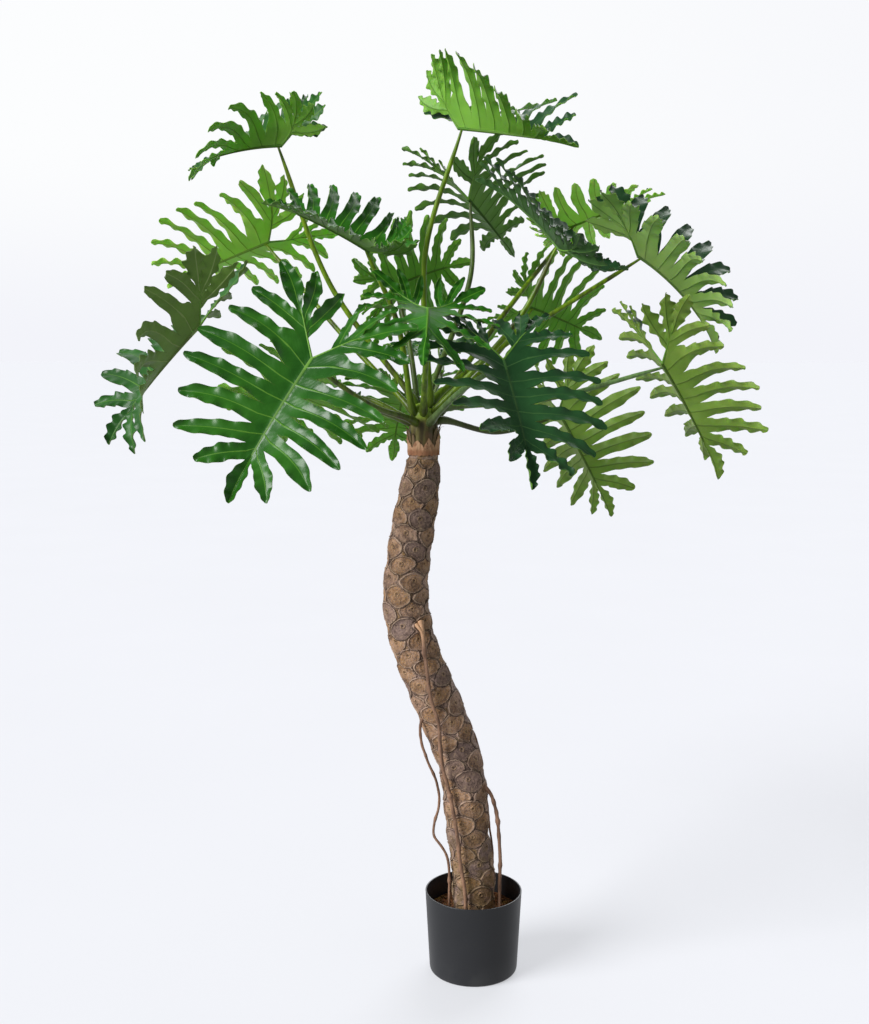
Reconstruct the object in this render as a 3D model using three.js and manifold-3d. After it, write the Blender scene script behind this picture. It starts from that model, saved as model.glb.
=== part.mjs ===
// Potted lacy tree philodendron, an artificial floor plant, in millimetres with +Z up.
// The origin is the middle of the pot's underside; the photo looks along +Y.
import * as THREE from "three";
import { mergeVertices } from "three/addons/utils/BufferGeometryUtils.js";
import Module from "manifold-3d";

const wasm = await Module();
wasm.setup();

// Driving dimensions, in millimetres
const FIT_GAP = 0.3;
const POT_HEIGHT = 140;
const POT_RIM_RADIUS = 82.5;
const POT_BASE_RADIUS = 75;
const POT_WALL = 2.4;
const POT_EDGE_ROUND = 5;
const POT_LIP_ROUND = 0.6;
const SOIL_LEVEL = 104;
const SOIL_BUMP = 5;
const SOIL_SIDE_GAP = 0.8;
const TRUNK_FOOT_LEVEL = 44;
const TRUNK_FOOT_RADIUS = 34.5;
const TRUNK_MEAN_RADIUS = 36.5;
const TRUNK_ANKLE_RISE = 8;
const SCAR_ROW_PITCH = 25.5;
const SCARS_AROUND = 5;
const SCAR_HALF_WIDTH = 20;
const SCAR_HALF_HEIGHT = 14.5;
const SCAR_RIM_RISE = 1.6;
const SCAR_GROOVE_DEPTH = 2.2;
const SCAR_EYE_DEPTH = 0.8;
const SCAR_EYE_SHIFT = 3;
const SCAR_HEIGHT_JITTER = 4;
const SCAR_ANGLE_JITTER = 0.12;
const SCAR_SIZE_JITTER = 0.06;
const GROOVE_HEIGHT_JITTER = 2;
const GROOVE_ANGLE_JITTER = 0.05;
const NECK_RADIUS = 24;
const COLLAR_GAP = 0.5;
const COLLAR_WALL = 1.6;
const COLLAR_BOTTOM = 886;
const COLLAR_BAND = 14;
const COLLAR_BAND_JITTER = 4;
const COLLAR_TIP_RISE = 26;
const COLLAR_FLARE = 7;
const COLLAR_TIPS = 8;
const BLADE_THICKNESS = 1.1;
const MIDRIB_HALF_WIDTH = 2.6;
const MIDRIB_KEEL = 3.2;
const SIDE_RIB_KEEL = 2.2;
const PETIOLE_BLADE_RADIUS = 3.6;
const PETIOLE_FOOT_RADIUS = 5;
const PETIOLE_PIN_RADIUS = 3;
const PETIOLE_PIN_DEPTH = 9;
const PETIOLE_SOCKET_GAP = 0.4;
const PETIOLE_BLADE_OVERLAP = 7;

// Trunk centre line as x, z and the trunk's radius there: an S bend in the XZ plane
const TRUNK_LINE = [
  [0, 125, 35],
  [0, 160, 35.5],
  [-3, 195, 35.5],
  [-9, 230, 34.5],
  [-12, 265, 35.5],
  [-14, 300, 37],
  [-18, 335, 36.5],
  [-25, 370, 36.5],
  [-37, 405, 37.5],
  [-50, 440, 38.5],
  [-64, 475, 38.5],
  [-79, 510, 38],
  [-93, 545, 37],
  [-104, 580, 37],
  [-111, 612, 37.5],
  [-115, 645, 37.5],
  [-114, 680, 36],
  [-110, 716, 35],
  [-105, 752, 35],
  [-99, 788, 34],
  [-93, 822, 32.5],
  [-89, 850, 30],
  [-86, 874, 26.5],
];
const NECK_X = -85;
const NECK_BOTTOM = 883;
const NECK_TOP = 930;
const CROWN_RINGS = [
  { level: 940, radius: 23.5, steep: 0.7 },
  { level: 956, radius: 20, steep: 1.1 },
  { level: 969, radius: 14, steep: 3 },
];
const CROWN_TOP_LEVEL = 974;
const CROWN_SKIRT = 2;

// Aerial roots from the trunk down into the soil: x, y, z and radius
const ROOTS = [
  [
    [-90, -34, 616, 3.4],
    [-86, -43, 596, 3.4],
    [-80, -47, 540, 3.2],
    [-72, -48, 486, 3.2],
    [-61, -48, 450, 3.1],
    [-57, -46, 402, 3.1],
    [-52, -42, 364, 3.1],
    [-44, -39, 333, 3.1],
    [-35, -42, 290, 3.1],
    [-28, -44, 245, 3.2],
    [-24, -43, 205, 3.2],
    [-17, -43, 165, 3.2],
    [-14, -43, 125, 3.2],
    [-14, -43, 82, 3.2],
  ],
  [
    [-84, -18, 452, 2.2],
    [-90, -24, 440, 2.2],
    [-89, -26, 410, 2.2],
    [-78, -24, 374, 2.2],
    [-66, -20, 345, 2.2],
    [-60, -16, 318, 2.2],
    [-60, -12, 290, 2.2],
    [-67, -10, 263, 2.2],
    [-68, -10, 240, 2.2],
    [-55, -12, 221, 2.2],
    [-46, -14, 205, 2.3],
    [-42, -16, 175, 2.3],
    [-42, -16, 125, 2.3],
    [-42, -16, 82, 2.3],
  ],
  [
    [16, -12, 328, 3],
    [27, -14, 316, 3],
    [36, -14, 290, 2.9],
    [41, -13, 258, 2.9],
    [43, -12, 230, 2.9],
    [45, -11, 196, 3],
    [44, -11, 160, 3],
    [44, -11, 125, 3],
    [44, -11, 82, 3],
  ],
  [
    [-14, 22, 424, 1.9],
    [-2, 28, 410, 1.9],
    [8, 30, 385, 1.8],
    [17, 31, 330, 1.8],
    [24, 31, 280, 1.8],
    [28, 30, 240, 1.8],
    [33, 27, 205, 1.8],
    [34, 26, 165, 1.8],
    [34, 26, 125, 1.8],
    [34, 26, 82, 1.8],
  ],
];

// Half blade as lobe tips about the leaf stalk's end: distance as a share of the blade length, and
// the angle from the tip direction in degrees, from the terminal side round to the basal notch
const LATERAL_TIPS = [
  [0.95, 18],
  [0.91, 34],
  [0.84, 48],
  [0.78, 62],
  [0.72, 76],
  [0.63, 92],
];
const POSTERIOR_OUTER_TIP = [0.64, 109];
const POSTERIOR_END_TIP = [0.69, 131];
const POSTERIOR_INNER_TIP = [0.57, 156];
const MIDRIB_NODES = [0, 0.13, 0.27, 0.4, 0.53, 0.66, 0.78];
const MIDRIB_END = 0.9;
// A young leaf has half as many side lobes
const YOUNG_LATERAL_TIPS = [[0.93, 26], [0.8, 50], [0.66, 80]];
const YOUNG_MIDRIB_NODES = [0, 0.22, 0.44, 0.66];
const POSTERIOR_RIB_ANGLE = 136;
const POSTERIOR_RIB_NODES = [0.13, 0.27];
const POSTERIOR_RIB_END = 0.42;
const NOTCH_REACH = 0.17;
const LOBE_BELLY = 0.62;
const LOBE_HALF_WIDTH = 0.055;
const LOBE_TIP_HALF_WIDTH = 0.024;
const LOBE_RIPPLE = 0.022;
const LOBE_SAG = 0.6;
const REAR_REACH = 0.6;

// Leaves: crown ring and bearing of the leaf stalk's foot, the way point and end of the stalk, the
// blade's tip, the direction its upper face looks in, and in degrees its fold at the stalk and at
// the tip, its twist and droop along the midrib and the bend of the two lobes behind the stalk
const LEAVES = [
  { ring: 2, bearing: 160, way: [-240, 55, 1166], base: [-318, 65, 1392], tip: [-484, 125, 1366],
    face: [-0.5, 0.02, 0.9], fold: [80, -30], twist: 20, droop: 20, rear: 30 },
  { ring: 2, bearing: 310, way: [-82, -10, 1210], base: [-30, -35, 1402], tip: [144, -135, 1362],
    face: [-0.3, 0.5, 0.8], fold: [60, 40], twist: -55, droop: 4, rear: 55 },
  { ring: 2, bearing: 70, way: [-4, 140, 1190], base: [-8, 158, 1317], tip: [80, 340, 1238],
    face: [0.05, 0.4, 0.9], fold: [53, 48], twist: 26, droop: 6, rear: 24 },
  { ring: 1, bearing: 145, way: [-225, 110, 1085], base: [-360, 198, 1248], tip: [-555, 285, 1178],
    face: [-0.1, 0.5, 0.85], fold: [14, 20], twist: 7, droop: 4, rear: 80 },
  { ring: 0, bearing: 192, way: [-250, -45, 995], base: [-436, -62, 1096], tip: [-590, -50, 913],
    face: [-0.9, 0.22, 0.4], fold: [30, 15], twist: 72, droop: 10, rear: 20 },
  { ring: 0, bearing: 238, way: [-165, -140, 975], base: [-243, -243, 1045], tip: [-358, -300, 848],
    face: [-0.2, -0.9, 0.38], fold: [18, 26], twist: 0, droop: 14, rear: -8 },
  { ring: 0, bearing: 158, way: [-170, 30, 975], base: [-262, 92, 985], tip: [-412, 240, 905],
    face: [0.05, 0.7, 0.7], fold: [12, 12], twist: 0, droop: 26 },
  { ring: 1, bearing: 225, way: [-125, -55, 1098], base: [-166, -97, 1207], tip: [-326, -105, 1282],
    face: [0.3, -0.36, 0.9], fold: [40, 30], twist: 0, droop: 14, rear: 104 },
  { ring: 1, bearing: 110, way: [-110, 90, 1070], base: [-140, 130, 1165], tip: [0, 200, 1215],
    face: [-0.1, 0.85, 0.5], fold: [14, 14], twist: 0, droop: 26 },
  { ring: 1, bearing: 270, way: [-80, -110, 1050], base: [-77, -160, 1119], tip: [-82, -300, 1040],
    face: [0.1, -0.75, 0.6], fold: [0, -45], twist: 0, droop: 50, rear: 95, young: true },
  { ring: 0, bearing: 295, way: [-20, -120, 1000], base: [36, -164, 1043], tip: [74, -285, 866],
    face: [0.33, -0.78, 0.53], fold: [16, 32], twist: 20, droop: 10, rear: -30, finish: "leafDark" },
  { ring: 0, bearing: 20, way: [40, 80, 920], base: [152, 158, 952], tip: [243, 121, 774],
    face: [0.63, 0.75, 0.16], fold: [43, 33], twist: 0, droop: 4, rear: 27 },
  { ring: 1, bearing: 0, way: [120, 55, 977], base: [316, 66, 1036], tip: [425, 103, 843],
    face: [0.77, 0.4, 0.5], fold: [25, 41], twist: 4, droop: 9, rear: 17 },
  { ring: 2, bearing: 20, way: [42, 30, 1062], base: [268, 50, 1213], tip: [403, 43, 1058],
    face: [0.7, -0.3, 0.62], fold: [62, 58], twist: 0, droop: 32, rear: -9 },
  { ring: 1, bearing: 325, way: [68, -60, 1110], base: [128, -66, 1213], tip: [5, 35, 1335],
    face: [0.62, -0.22, 0.6], fold: [25, 20], twist: -8, droop: 20, rear: 70, finish: "leafDark" },
  { ring: 1, bearing: 45, way: [60, 120, 1130], base: [183, 297, 1284], tip: [348, 276, 1343],
    face: [-0.2, 0.52, 0.83], fold: [13, 4], twist: -28, droop: 4, rear: 84 },
  { ring: 0, bearing: 50, way: [45, 160, 1055], base: [106, 240, 1136], tip: [245, 332, 1082],
    face: [0, 0.95, 0.3], fold: [12, 12], twist: 0, droop: 24 },
  { ring: 1, bearing: 80, way: [-55, 140, 1020], base: [-60, 270, 1065], tip: [-40, 420, 1055],
    face: [0, 0.6, 0.8], fold: [12, 12], twist: 0, droop: 24 },
  { ring: 0, bearing: 110, way: [-115, 90, 965], base: [-122, 200, 980], tip: [-148, 330, 855],
    face: [-0.1, 0.7, 0.7], fold: [12, 12], twist: 0, droop: 24 },
];

// Material colours and finishes
const FINISH = {
  pot: { color: "#2f3033", roughness: 0.6 },
  soil: { color: "#6e4727", roughness: 0.95 },
  trunk: { color: "#7c6a5c", roughness: 0.85 },
  collar: { color: "#b98a66", roughness: 0.8 },
  root: { color: "#9a6a4e", roughness: 0.8 },
  leaf: { color: "#2b7a32", roughness: 0.35 },
  leafDark: { color: "#1b5a2c", roughness: 0.35 },
};

// Repeatable random numbers from 0 to 1
function randomSource(seed) {
  let state = seed;
  return () => {
    state = (state * 1664525 + 1013904223) % 4294967296;
    return state / 4294967296;
  };
}

// Solid that can be cut and joined, made from a closed surface, and the surface of such a solid
function toSolid(geometry) {
  const plain = geometry.clone();
  plain.deleteAttribute("normal");
  plain.deleteAttribute("uv");
  const merged = mergeVertices(plain, 1e-3);
  return new wasm.Manifold(new wasm.Mesh({
    numProp: 3,
    vertProperties: merged.attributes.position.array,
    triVerts: new Uint32Array(merged.index.array),
  }));
}

function toGeometry(solid) {
  const mesh = solid.getMesh();
  const geometry = new THREE.BufferGeometry();
  geometry.setAttribute("position", new THREE.BufferAttribute(mesh.vertProperties, 3));
  geometry.setIndex(new THREE.BufferAttribute(mesh.triVerts, 1));
  geometry.computeVertexNormals();
  return geometry;
}

// Triangles given by corner indices into a list of points
function meshOf(points, triangles) {
  const geometry = new THREE.BufferGeometry().setFromPoints(points);
  geometry.setIndex(triangles.flat());
  return geometry;
}

// Thin closed sheet: each node has an upper and a lower corner, and walls close its edges
function sheetBuilder() {
  const points = [];
  const triangles = [];
  const corner = (point) => points.push(point) - 1;
  const node = (upper, lower) => ({ upper: corner(upper), lower: corner(lower) });
  const face3 = (a, b, c) => {
    triangles.push([a.upper, b.upper, c.upper], [c.lower, b.lower, a.lower]);
  };
  const face4 = (a, b, c, d) => {
    face3(a, b, c);
    face3(a, c, d);
  };
  const wall = (a, b) => {
    triangles.push([a.upper, a.lower, b.lower], [a.upper, b.lower, b.upper]);
  };
  return { points, triangles, corner, node, face3, face4, wall };
}

// Round stem through the given points, with a radius at each and closed ends
function stemGeometry(points, radii, sides, steps) {
  const curve = new THREE.CatmullRomCurve3(points, false, "centripetal");
  const frames = curve.computeFrenetFrames(steps, false);
  curve.arcLengthDivisions = 400;
  const corners = [];
  const triangles = [];
  for (let i = 0; i <= steps; i += 1) {
    const t = curve.getUtoTmapping(i / steps);
    const place = t * (points.length - 1);
    const k = Math.min(points.length - 2, Math.floor(place));
    const radius = radii[k] + (radii[k + 1] - radii[k]) * (place - k);
    const centre = curve.getPoint(t);
    for (let j = 0; j < sides; j += 1) {
      const angle = (2 * Math.PI * j) / sides;
      corners.push(centre.clone()
        .addScaledVector(frames.normals[i], radius * Math.cos(angle))
        .addScaledVector(frames.binormals[i], radius * Math.sin(angle)));
    }
  }
  for (let i = 0; i < steps; i += 1) {
    for (let j = 0; j < sides; j += 1) {
      const a = i * sides + j;
      const b = i * sides + ((j + 1) % sides);
      triangles.push([a, b, b + sides], [a, b + sides, a + sides]);
    }
  }
  for (let j = 1; j < sides - 1; j += 1) {
    const last = steps * sides;
    triangles.push([0, j + 1, j], [last, last + j, last + j + 1]);
  }
  return meshOf(corners, triangles);
}

const plant = new THREE.Group();

function addMesh(name, geometry, finish) {
  const material = new THREE.MeshStandardMaterial({ ...finish, metalness: 0 });
  const mesh = new THREE.Mesh(geometry, material);
  mesh.name = name;
  plant.add(mesh);
}

// Pot: a thin tapered bucket with a flat underside
const POT_SEGMENTS = 36;
const potSlope = (POT_RIM_RADIUS - POT_BASE_RADIUS) / POT_HEIGHT;
const potOutline = [
  [0, 0],
  [POT_BASE_RADIUS - POT_EDGE_ROUND, 0],
  [POT_BASE_RADIUS - POT_EDGE_ROUND * 0.3, POT_EDGE_ROUND * 0.3],
  [POT_BASE_RADIUS + potSlope * POT_EDGE_ROUND, POT_EDGE_ROUND],
  [POT_RIM_RADIUS, POT_HEIGHT - POT_LIP_ROUND],
  [POT_RIM_RADIUS - POT_LIP_ROUND, POT_HEIGHT],
  [POT_RIM_RADIUS - POT_WALL + POT_LIP_ROUND, POT_HEIGHT],
  [POT_RIM_RADIUS - POT_WALL, POT_HEIGHT - POT_LIP_ROUND],
  [POT_BASE_RADIUS - POT_WALL, POT_WALL],
  [0, POT_WALL],
].map(([r, z]) => new THREE.Vector2(r, z));
const potGeometry = new THREE.LatheGeometry(potOutline, POT_SEGMENTS);
potGeometry.rotateX(Math.PI / 2);
addMesh("pot", toGeometry(toSolid(potGeometry)), FINISH.pot);

// Trunk frame: point on the trunk's skin at a distance along it, an angle round it and a rise
const trunkCurve = new THREE.CatmullRomCurve3(
  TRUNK_LINE.map(([x, z]) => new THREE.Vector3(x, 0, z)), false, "centripetal");
trunkCurve.arcLengthDivisions = 600;
const trunkLength = trunkCurve.getLength();

function trunkPoint(along, angle, rise) {
  const share = Math.min(1, Math.max(0, along / trunkLength));
  const centre = trunkCurve.getPointAt(share);
  const tangent = trunkCurve.getTangentAt(share);
  const level = centre.z;
  let k = 0;
  while (k < TRUNK_LINE.length - 2 && TRUNK_LINE[k + 1][1] < level) k += 1;
  const low = TRUNK_LINE[k];
  const high = TRUNK_LINE[k + 1];
  const mix = Math.min(1, Math.max(0, (level - low[1]) / (high[1] - low[1])));
  const radius = low[2] + (high[2] - low[2]) * mix + rise;
  const side = new THREE.Vector3(tangent.z, 0, -tangent.x);
  return centre
    .addScaledVector(side, radius * Math.cos(angle))
    .addScaledVector(new THREE.Vector3(0, 1, 0), radius * Math.sin(angle));
}

// Trunk: staggered shield-shaped leaf scars between a plain foot and the neck with its sockets
function trunkGeometry() {
  const random = randomSource(41);
  const points = [];
  const triangles = [];
  const add = (point) => points.push(point) - 1;
  const half = Math.PI / SCARS_AROUND;
  const columns = 2 * SCARS_AROUND;
  const rows = Math.floor(trunkLength / SCAR_ROW_PITCH) - 1;
  const start = (trunkLength - rows * SCAR_ROW_PITCH) / 2;
  const lattice = [];
  const halves = [];
  for (let row = 0; row <= rows; row += 1) {
    lattice.push([]);
    for (let k = 0; k < columns; k += 1) {
      const isCentre = (k + row) % 2 === 0;
      const along = start + row * SCAR_ROW_PITCH + (random() - 0.5) * SCAR_HEIGHT_JITTER;
      const angle = k * half + (random() - 0.5) * SCAR_ANGLE_JITTER;
      const edgeRow = row === 0 || row === rows;
      const used = isCentre && !edgeRow;
      const rise = used ? -SCAR_EYE_DEPTH : -SCAR_GROOVE_DEPTH;
      const shift = used ? SCAR_EYE_SHIFT : 0;
      lattice[row].push({
        along, angle, used, index: add(trunkPoint(along + shift, angle, rise)),
      });
    }
  }
  for (let row = 0; row < rows; row += 1) {
    halves.push([]);
    for (let k = 0; k < columns; k += 1) {
      const level = start + (row + 0.5) * SCAR_ROW_PITCH;
      const along = level + (random() - 0.5) * GROOVE_HEIGHT_JITTER;
      const angle = (k + 0.5) * half + (random() - 0.5) * GROOVE_ANGLE_JITTER;
      halves[row].push(add(trunkPoint(along, angle, -SCAR_GROOVE_DEPTH)));
    }
  }
  const wrap = (k) => (k + columns) % columns;
  for (let row = 1; row < rows; row += 1) {
    for (let k = 0; k < columns; k += 1) {
      const cell = lattice[row][k];
      if (!cell.used) continue;
      const below = row - 1;
      const border = [
        lattice[row][wrap(k + 1)].index,
        halves[row][k],
        lattice[row + 1][k].index,
        halves[row][wrap(k - 1)],
        lattice[row][wrap(k - 1)].index,
        halves[below][wrap(k - 1)],
        lattice[below][k].index,
        halves[below][k],
      ];
      const uneven = () => 1 + SCAR_SIZE_JITTER * (random() - 0.5);
      const rim = border.map((unused, n) => {
        const turn = (n * Math.PI) / 4;
        const across = SCAR_HALF_WIDTH * Math.cos(turn) * uneven();
        const up = SCAR_HALF_HEIGHT * Math.sin(turn) * uneven();
        const angle = cell.angle + across / TRUNK_MEAN_RADIUS;
        return add(trunkPoint(cell.along + up, angle, SCAR_RIM_RISE));
      });
      for (let n = 0; n < 8; n += 1) {
        const next = (n + 1) % 8;
        triangles.push([border[n], border[next], rim[next]]);
        triangles.push([border[n], rim[next], rim[n]]);
        triangles.push([rim[n], rim[next], cell.index]);
      }
    }
  }
  // The zigzag edges of the scar lattice, bottom and top, joined to plain rings
  const around = 2 * columns;
  const ringAt = (centreX, level, radius) => {
    const ring = [];
    for (let n = 0; n < around; n += 1) {
      const angle = (n * half) / 2;
      ring.push(add(new THREE.Vector3(
        centreX + radius * Math.cos(angle), radius * Math.sin(angle), level)));
    }
    return ring;
  };
  const zigzag = (nearRow, halfRow, farRow) => {
    const edge = [];
    for (let k = 0; k < columns; k += 1) {
      const outer = (k + nearRow) % 2 === 1;
      edge.push(outer ? lattice[nearRow][k].index : lattice[farRow][k].index);
      edge.push(halves[halfRow][k]);
    }
    return edge;
  };
  const bridge = (lower, upper) => {
    for (let n = 0; n < around; n += 1) {
      const next = (n + 1) % around;
      triangles.push([lower[n], lower[next], upper[next]], [lower[n], upper[next], upper[n]]);
    }
  };
  const bottomEdge = zigzag(1, 0, 0);
  const topEdge = zigzag(rows - 1, rows - 1, rows);
  const foot = ringAt(0, TRUNK_FOOT_LEVEL, TRUNK_FOOT_RADIUS);
  const ankle = ringAt(0, SOIL_LEVEL + TRUNK_ANKLE_RISE, TRUNK_FOOT_RADIUS);
  const neckLow = ringAt(NECK_X, NECK_BOTTOM, NECK_RADIUS);
  const neckHigh = ringAt(NECK_X, NECK_TOP, NECK_RADIUS);
  const crown = CROWN_RINGS.slice(1).map((ring) => (
    ringAt(NECK_X, ring.level, ring.radius + CROWN_SKIRT)));
  bridge(foot, ankle);
  bridge(ankle, bottomEdge);
  bridge(topEdge, neckLow);
  bridge(neckLow, neckHigh);
  bridge(neckHigh, crown[0]);
  bridge(crown[0], crown[1]);
  const footCentre = add(new THREE.Vector3(0, 0, TRUNK_FOOT_LEVEL));
  const crownCentre = add(new THREE.Vector3(NECK_X, 0, CROWN_TOP_LEVEL));
  for (let n = 0; n < around; n += 1) {
    const next = (n + 1) % around;
    triangles.push([foot[next], foot[n], footCentre]);
    triangles.push([crown[1][n], crown[1][next], crownCentre]);
  }
  return meshOf(points, triangles);
}

// Leaf blade in its own plane: x across, y towards the tip, z out of the upper face
function bladeGeometry(leaf, seed) {
  const random = randomSource(seed);
  const base = new THREE.Vector3(...leaf.base);
  const tip = new THREE.Vector3(...leaf.tip);
  const droop = THREE.MathUtils.degToRad(leaf.droop);
  const twist = THREE.MathUtils.degToRad(leaf.twist);
  const [foldAtStalk, foldAtTip] = leaf.fold.map((angle) => THREE.MathUtils.degToRad(angle));
  const chord = tip.clone().sub(base);
  const size = (chord.length() * droop) / 2 / Math.sin(droop / 2);
  const forward = chord.normalize();
  const face = new THREE.Vector3(...leaf.face);
  face.addScaledVector(forward, -face.dot(forward)).normalize();
  const across = forward.clone().cross(face);
  const start = droop / 2;
  const bendAhead = droop / size;
  const bendBehind = leaf.rear === undefined
    ? bendAhead : -THREE.MathUtils.degToRad(leaf.rear) / REAR_REACH / size;

  // Bent, folded and twisted position of a point of the flat blade, and its rise out of the face
  const place = (x, y, rise) => {
    const bend = y < 0 ? bendBehind : bendAhead;
    const slope = start - bend * y;
    const alongY = (Math.sin(start) - Math.sin(slope)) / bend;
    const alongZ = (Math.cos(slope) - Math.cos(start)) / bend;
    const share = THREE.MathUtils.clamp(y / size, 0, 1);
    const fold = THREE.MathUtils.lerp(foldAtStalk, foldAtTip, share)
      * (1 - (LOBE_SAG * Math.abs(x)) / size);
    const width = x * Math.cos(fold);
    const height = Math.abs(x) * Math.sin(fold) + rise;
    const roll = twist * share;
    const lift = width * Math.sin(roll) + height * Math.cos(roll);
    return base.clone()
      .addScaledVector(across, width * Math.cos(roll) - height * Math.sin(roll))
      .addScaledVector(forward, alongY - lift * Math.sin(slope))
      .addScaledVector(face, alongZ + lift * Math.cos(slope));
  };

  const sheet = sheetBuilder();
  const { points, triangles, face3, face4, wall } = sheet;
  const half = BLADE_THICKNESS / 2;
  // The lower corner of a rib stands out further
  const node = (x, y, wave = 0, keel = 0) => (
    sheet.node(place(x, y, wave + half), place(x, y, wave - half - keel)));

  // Midrib: a strip with a keel under it
  const midribNodes = leaf.young ? YOUNG_MIDRIB_NODES : MIDRIB_NODES;
  const lateralTips = leaf.young ? YOUNG_LATERAL_TIPS : LATERAL_TIPS;
  const ribWidths = midribNodes.map((share) => MIDRIB_HALF_WIDTH * (1 - 0.6 * share));
  const rib = midribNodes.map((share, n) => ({
    left: node(-ribWidths[n], share * size),
    right: node(ribWidths[n], share * size),
    keel: sheet.corner(place(0, share * size, -half - MIDRIB_KEEL * (1 - 0.65 * share))),
  }));
  const ribEnd = node(0, MIDRIB_END * size);
  for (let n = 0; n < rib.length - 1; n += 1) {
    const a = rib[n];
    const b = rib[n + 1];
    triangles.push([a.left.upper, a.right.upper, b.right.upper]);
    triangles.push([a.left.upper, b.right.upper, b.left.upper]);
    triangles.push([a.left.lower, b.left.lower, b.keel], [a.left.lower, b.keel, a.keel]);
    triangles.push([a.keel, b.keel, b.right.lower], [a.keel, b.right.lower, a.right.lower]);
  }
  const last = rib.at(-1);
  triangles.push([last.left.upper, last.right.upper, ribEnd.upper]);
  triangles.push([last.left.lower, ribEnd.lower, last.keel]);
  triangles.push([last.keel, ribEnd.lower, last.right.lower]);
  const first = rib[0];
  triangles.push([first.left.upper, first.left.lower, first.keel]);
  triangles.push([first.left.upper, first.keel, first.right.upper]);
  triangles.push([first.right.upper, first.keel, first.right.lower]);

  const polar = (distance, degrees) => {
    const angle = THREE.MathUtils.degToRad(degrees);
    return new THREE.Vector2(Math.sin(angle), Math.cos(angle)).multiplyScalar(distance * size);
  };
  const ends = [];
  for (const sign of [1, -1]) {
    const sideNode = (spot, wave, keel) => node(sign * spot.x, spot.y, wave, keel);
    const tri = (a, b, c) => (sign > 0 ? face3(a, b, c) : face3(c, b, a));
    const quad = (a, b, c, d) => (sign > 0 ? face4(a, b, c, d) : face4(d, c, b, a));
    const edge = (a, b) => (sign > 0 ? wall(a, b) : wall(b, a));
    const midribAt = (n) => (sign > 0 ? rib[n].right : rib[n].left);
    const vary = (tipSpec) => {
      const [distance, degrees] = tipSpec;
      return polar(distance * (0.96 + 0.08 * random()), degrees + 3 * (random() - 0.5));
    };

    // Rib nodes of the posterior rib, and the tips of the lobes in order from the leaf tip
    const posterior = POSTERIOR_RIB_NODES.map((share) => {
      const spot = polar(share, POSTERIOR_RIB_ANGLE);
      return { spot, point: sideNode(spot, 0, SIDE_RIB_KEEL) };
    });
    const posteriorEndSpot = polar(POSTERIOR_RIB_END, POSTERIOR_RIB_ANGLE - 1);
    const posteriorEnd = sideNode(posteriorEndSpot, 0, 0.6);
    const lateral = lateralTips.map(vary);

    // Notch between two lobes: part of the way from the rib to the middle of the two tips
    const notch = (ribSpot, tipA, tipB) => {
      const middle = tipA.clone().add(tipB).multiplyScalar(0.5);
      return ribSpot.clone().lerp(middle, NOTCH_REACH);
    };
    const ribSpots = midribNodes.map((share) => new THREE.Vector2(0, share * size));
    const outerTip = vary(POSTERIOR_OUTER_TIP);
    const endTip = vary(POSTERIOR_END_TIP);
    const innerTip = vary(POSTERIOR_INNER_TIP);

    // One strap-shaped lobe from its two notches to its blunt tip
    const lobe = (startA, startB, spotA, spotB, tipSpot) => {
      const root = spotA.clone().add(spotB).multiplyScalar(0.5);
      const axis = tipSpot.clone().sub(root);
      const length = axis.length();
      axis.normalize();
      const cross = new THREE.Vector2(axis.y, -axis.x);
      const towardsB = spotB.clone().sub(spotA).dot(cross) > 0 ? 1 : -1;
      const belly = root.clone().addScaledVector(axis, length * LOBE_BELLY);
      const bellyHalf = size * LOBE_HALF_WIDTH * (0.9 + 0.2 * random());
      const tipHalf = size * LOBE_TIP_HALF_WIDTH;
      const ripple = size * LOBE_RIPPLE * (0.6 + 0.8 * random());
      const at = (from, along, side) => from.clone().addScaledVector(along, side);
      const bellyA = sideNode(at(belly, cross, -towardsB * bellyHalf), ripple);
      const bellyB = sideNode(at(belly, cross, towardsB * bellyHalf), -ripple);
      const tipA = sideNode(at(tipSpot, cross, -towardsB * tipHalf), -ripple * 0.4);
      const tipB = sideNode(at(tipSpot, cross, towardsB * tipHalf), ripple * 0.4);
      edge(bellyA, startA);
      edge(tipA, bellyA);
      edge(tipB, tipA);
      edge(bellyB, tipB);
      edge(startB, bellyB);
      return { bellyA, bellyB, tipA, tipB };
    };

    // Lateral lobes from the leaf tip back to the stalk, each between two midrib nodes
    const count = midribNodes.length - 1;
    const farTip = polar(1, 0);
    const notches = [];
    for (let n = 0; n < count; n += 1) {
      const ribIndex = count - n;
      const before = n === 0 ? farTip : lateral[n - 1];
      const spot = notch(ribSpots[ribIndex], before, lateral[n]);
      notches.push({ spot, point: sideNode(spot, 0) });
    }
    const cornerSpot = notch(posterior[0].spot, lateral[count - 1], outerTip);
    const corner = { spot: cornerSpot, point: sideNode(cornerSpot, 0) };
    for (let n = 0; n < count; n += 1) {
      const ribIndex = count - n;
      const near = n === count - 1 ? corner : notches[n + 1];
      const from = notches[n];
      const made = lobe(from.point, near.point, from.spot, near.spot, lateral[n]);
      quad(midribAt(ribIndex - 1), near.point, from.point, midribAt(ribIndex));
      quad(near.point, made.bellyB, made.bellyA, from.point);
      quad(made.bellyB, made.tipB, made.tipA, made.bellyA);
    }
    tri(midribAt(0), posterior[0].point, corner.point);

    // Posterior part: an outer lobe, the end lobe and an inner lobe on its own rib
    const outerNotchSpot = notch(posterior[1].spot, outerTip, endTip);
    const outerNotch = sideNode(outerNotchSpot, 0);
    const outer = lobe(corner.point, outerNotch, corner.spot, outerNotchSpot, outerTip);
    quad(posterior[0].point, posterior[1].point, outerNotch, corner.point);
    quad(outerNotch, outer.bellyB, outer.bellyA, corner.point);
    quad(outer.bellyB, outer.tipB, outer.tipA, outer.bellyA);

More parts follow.
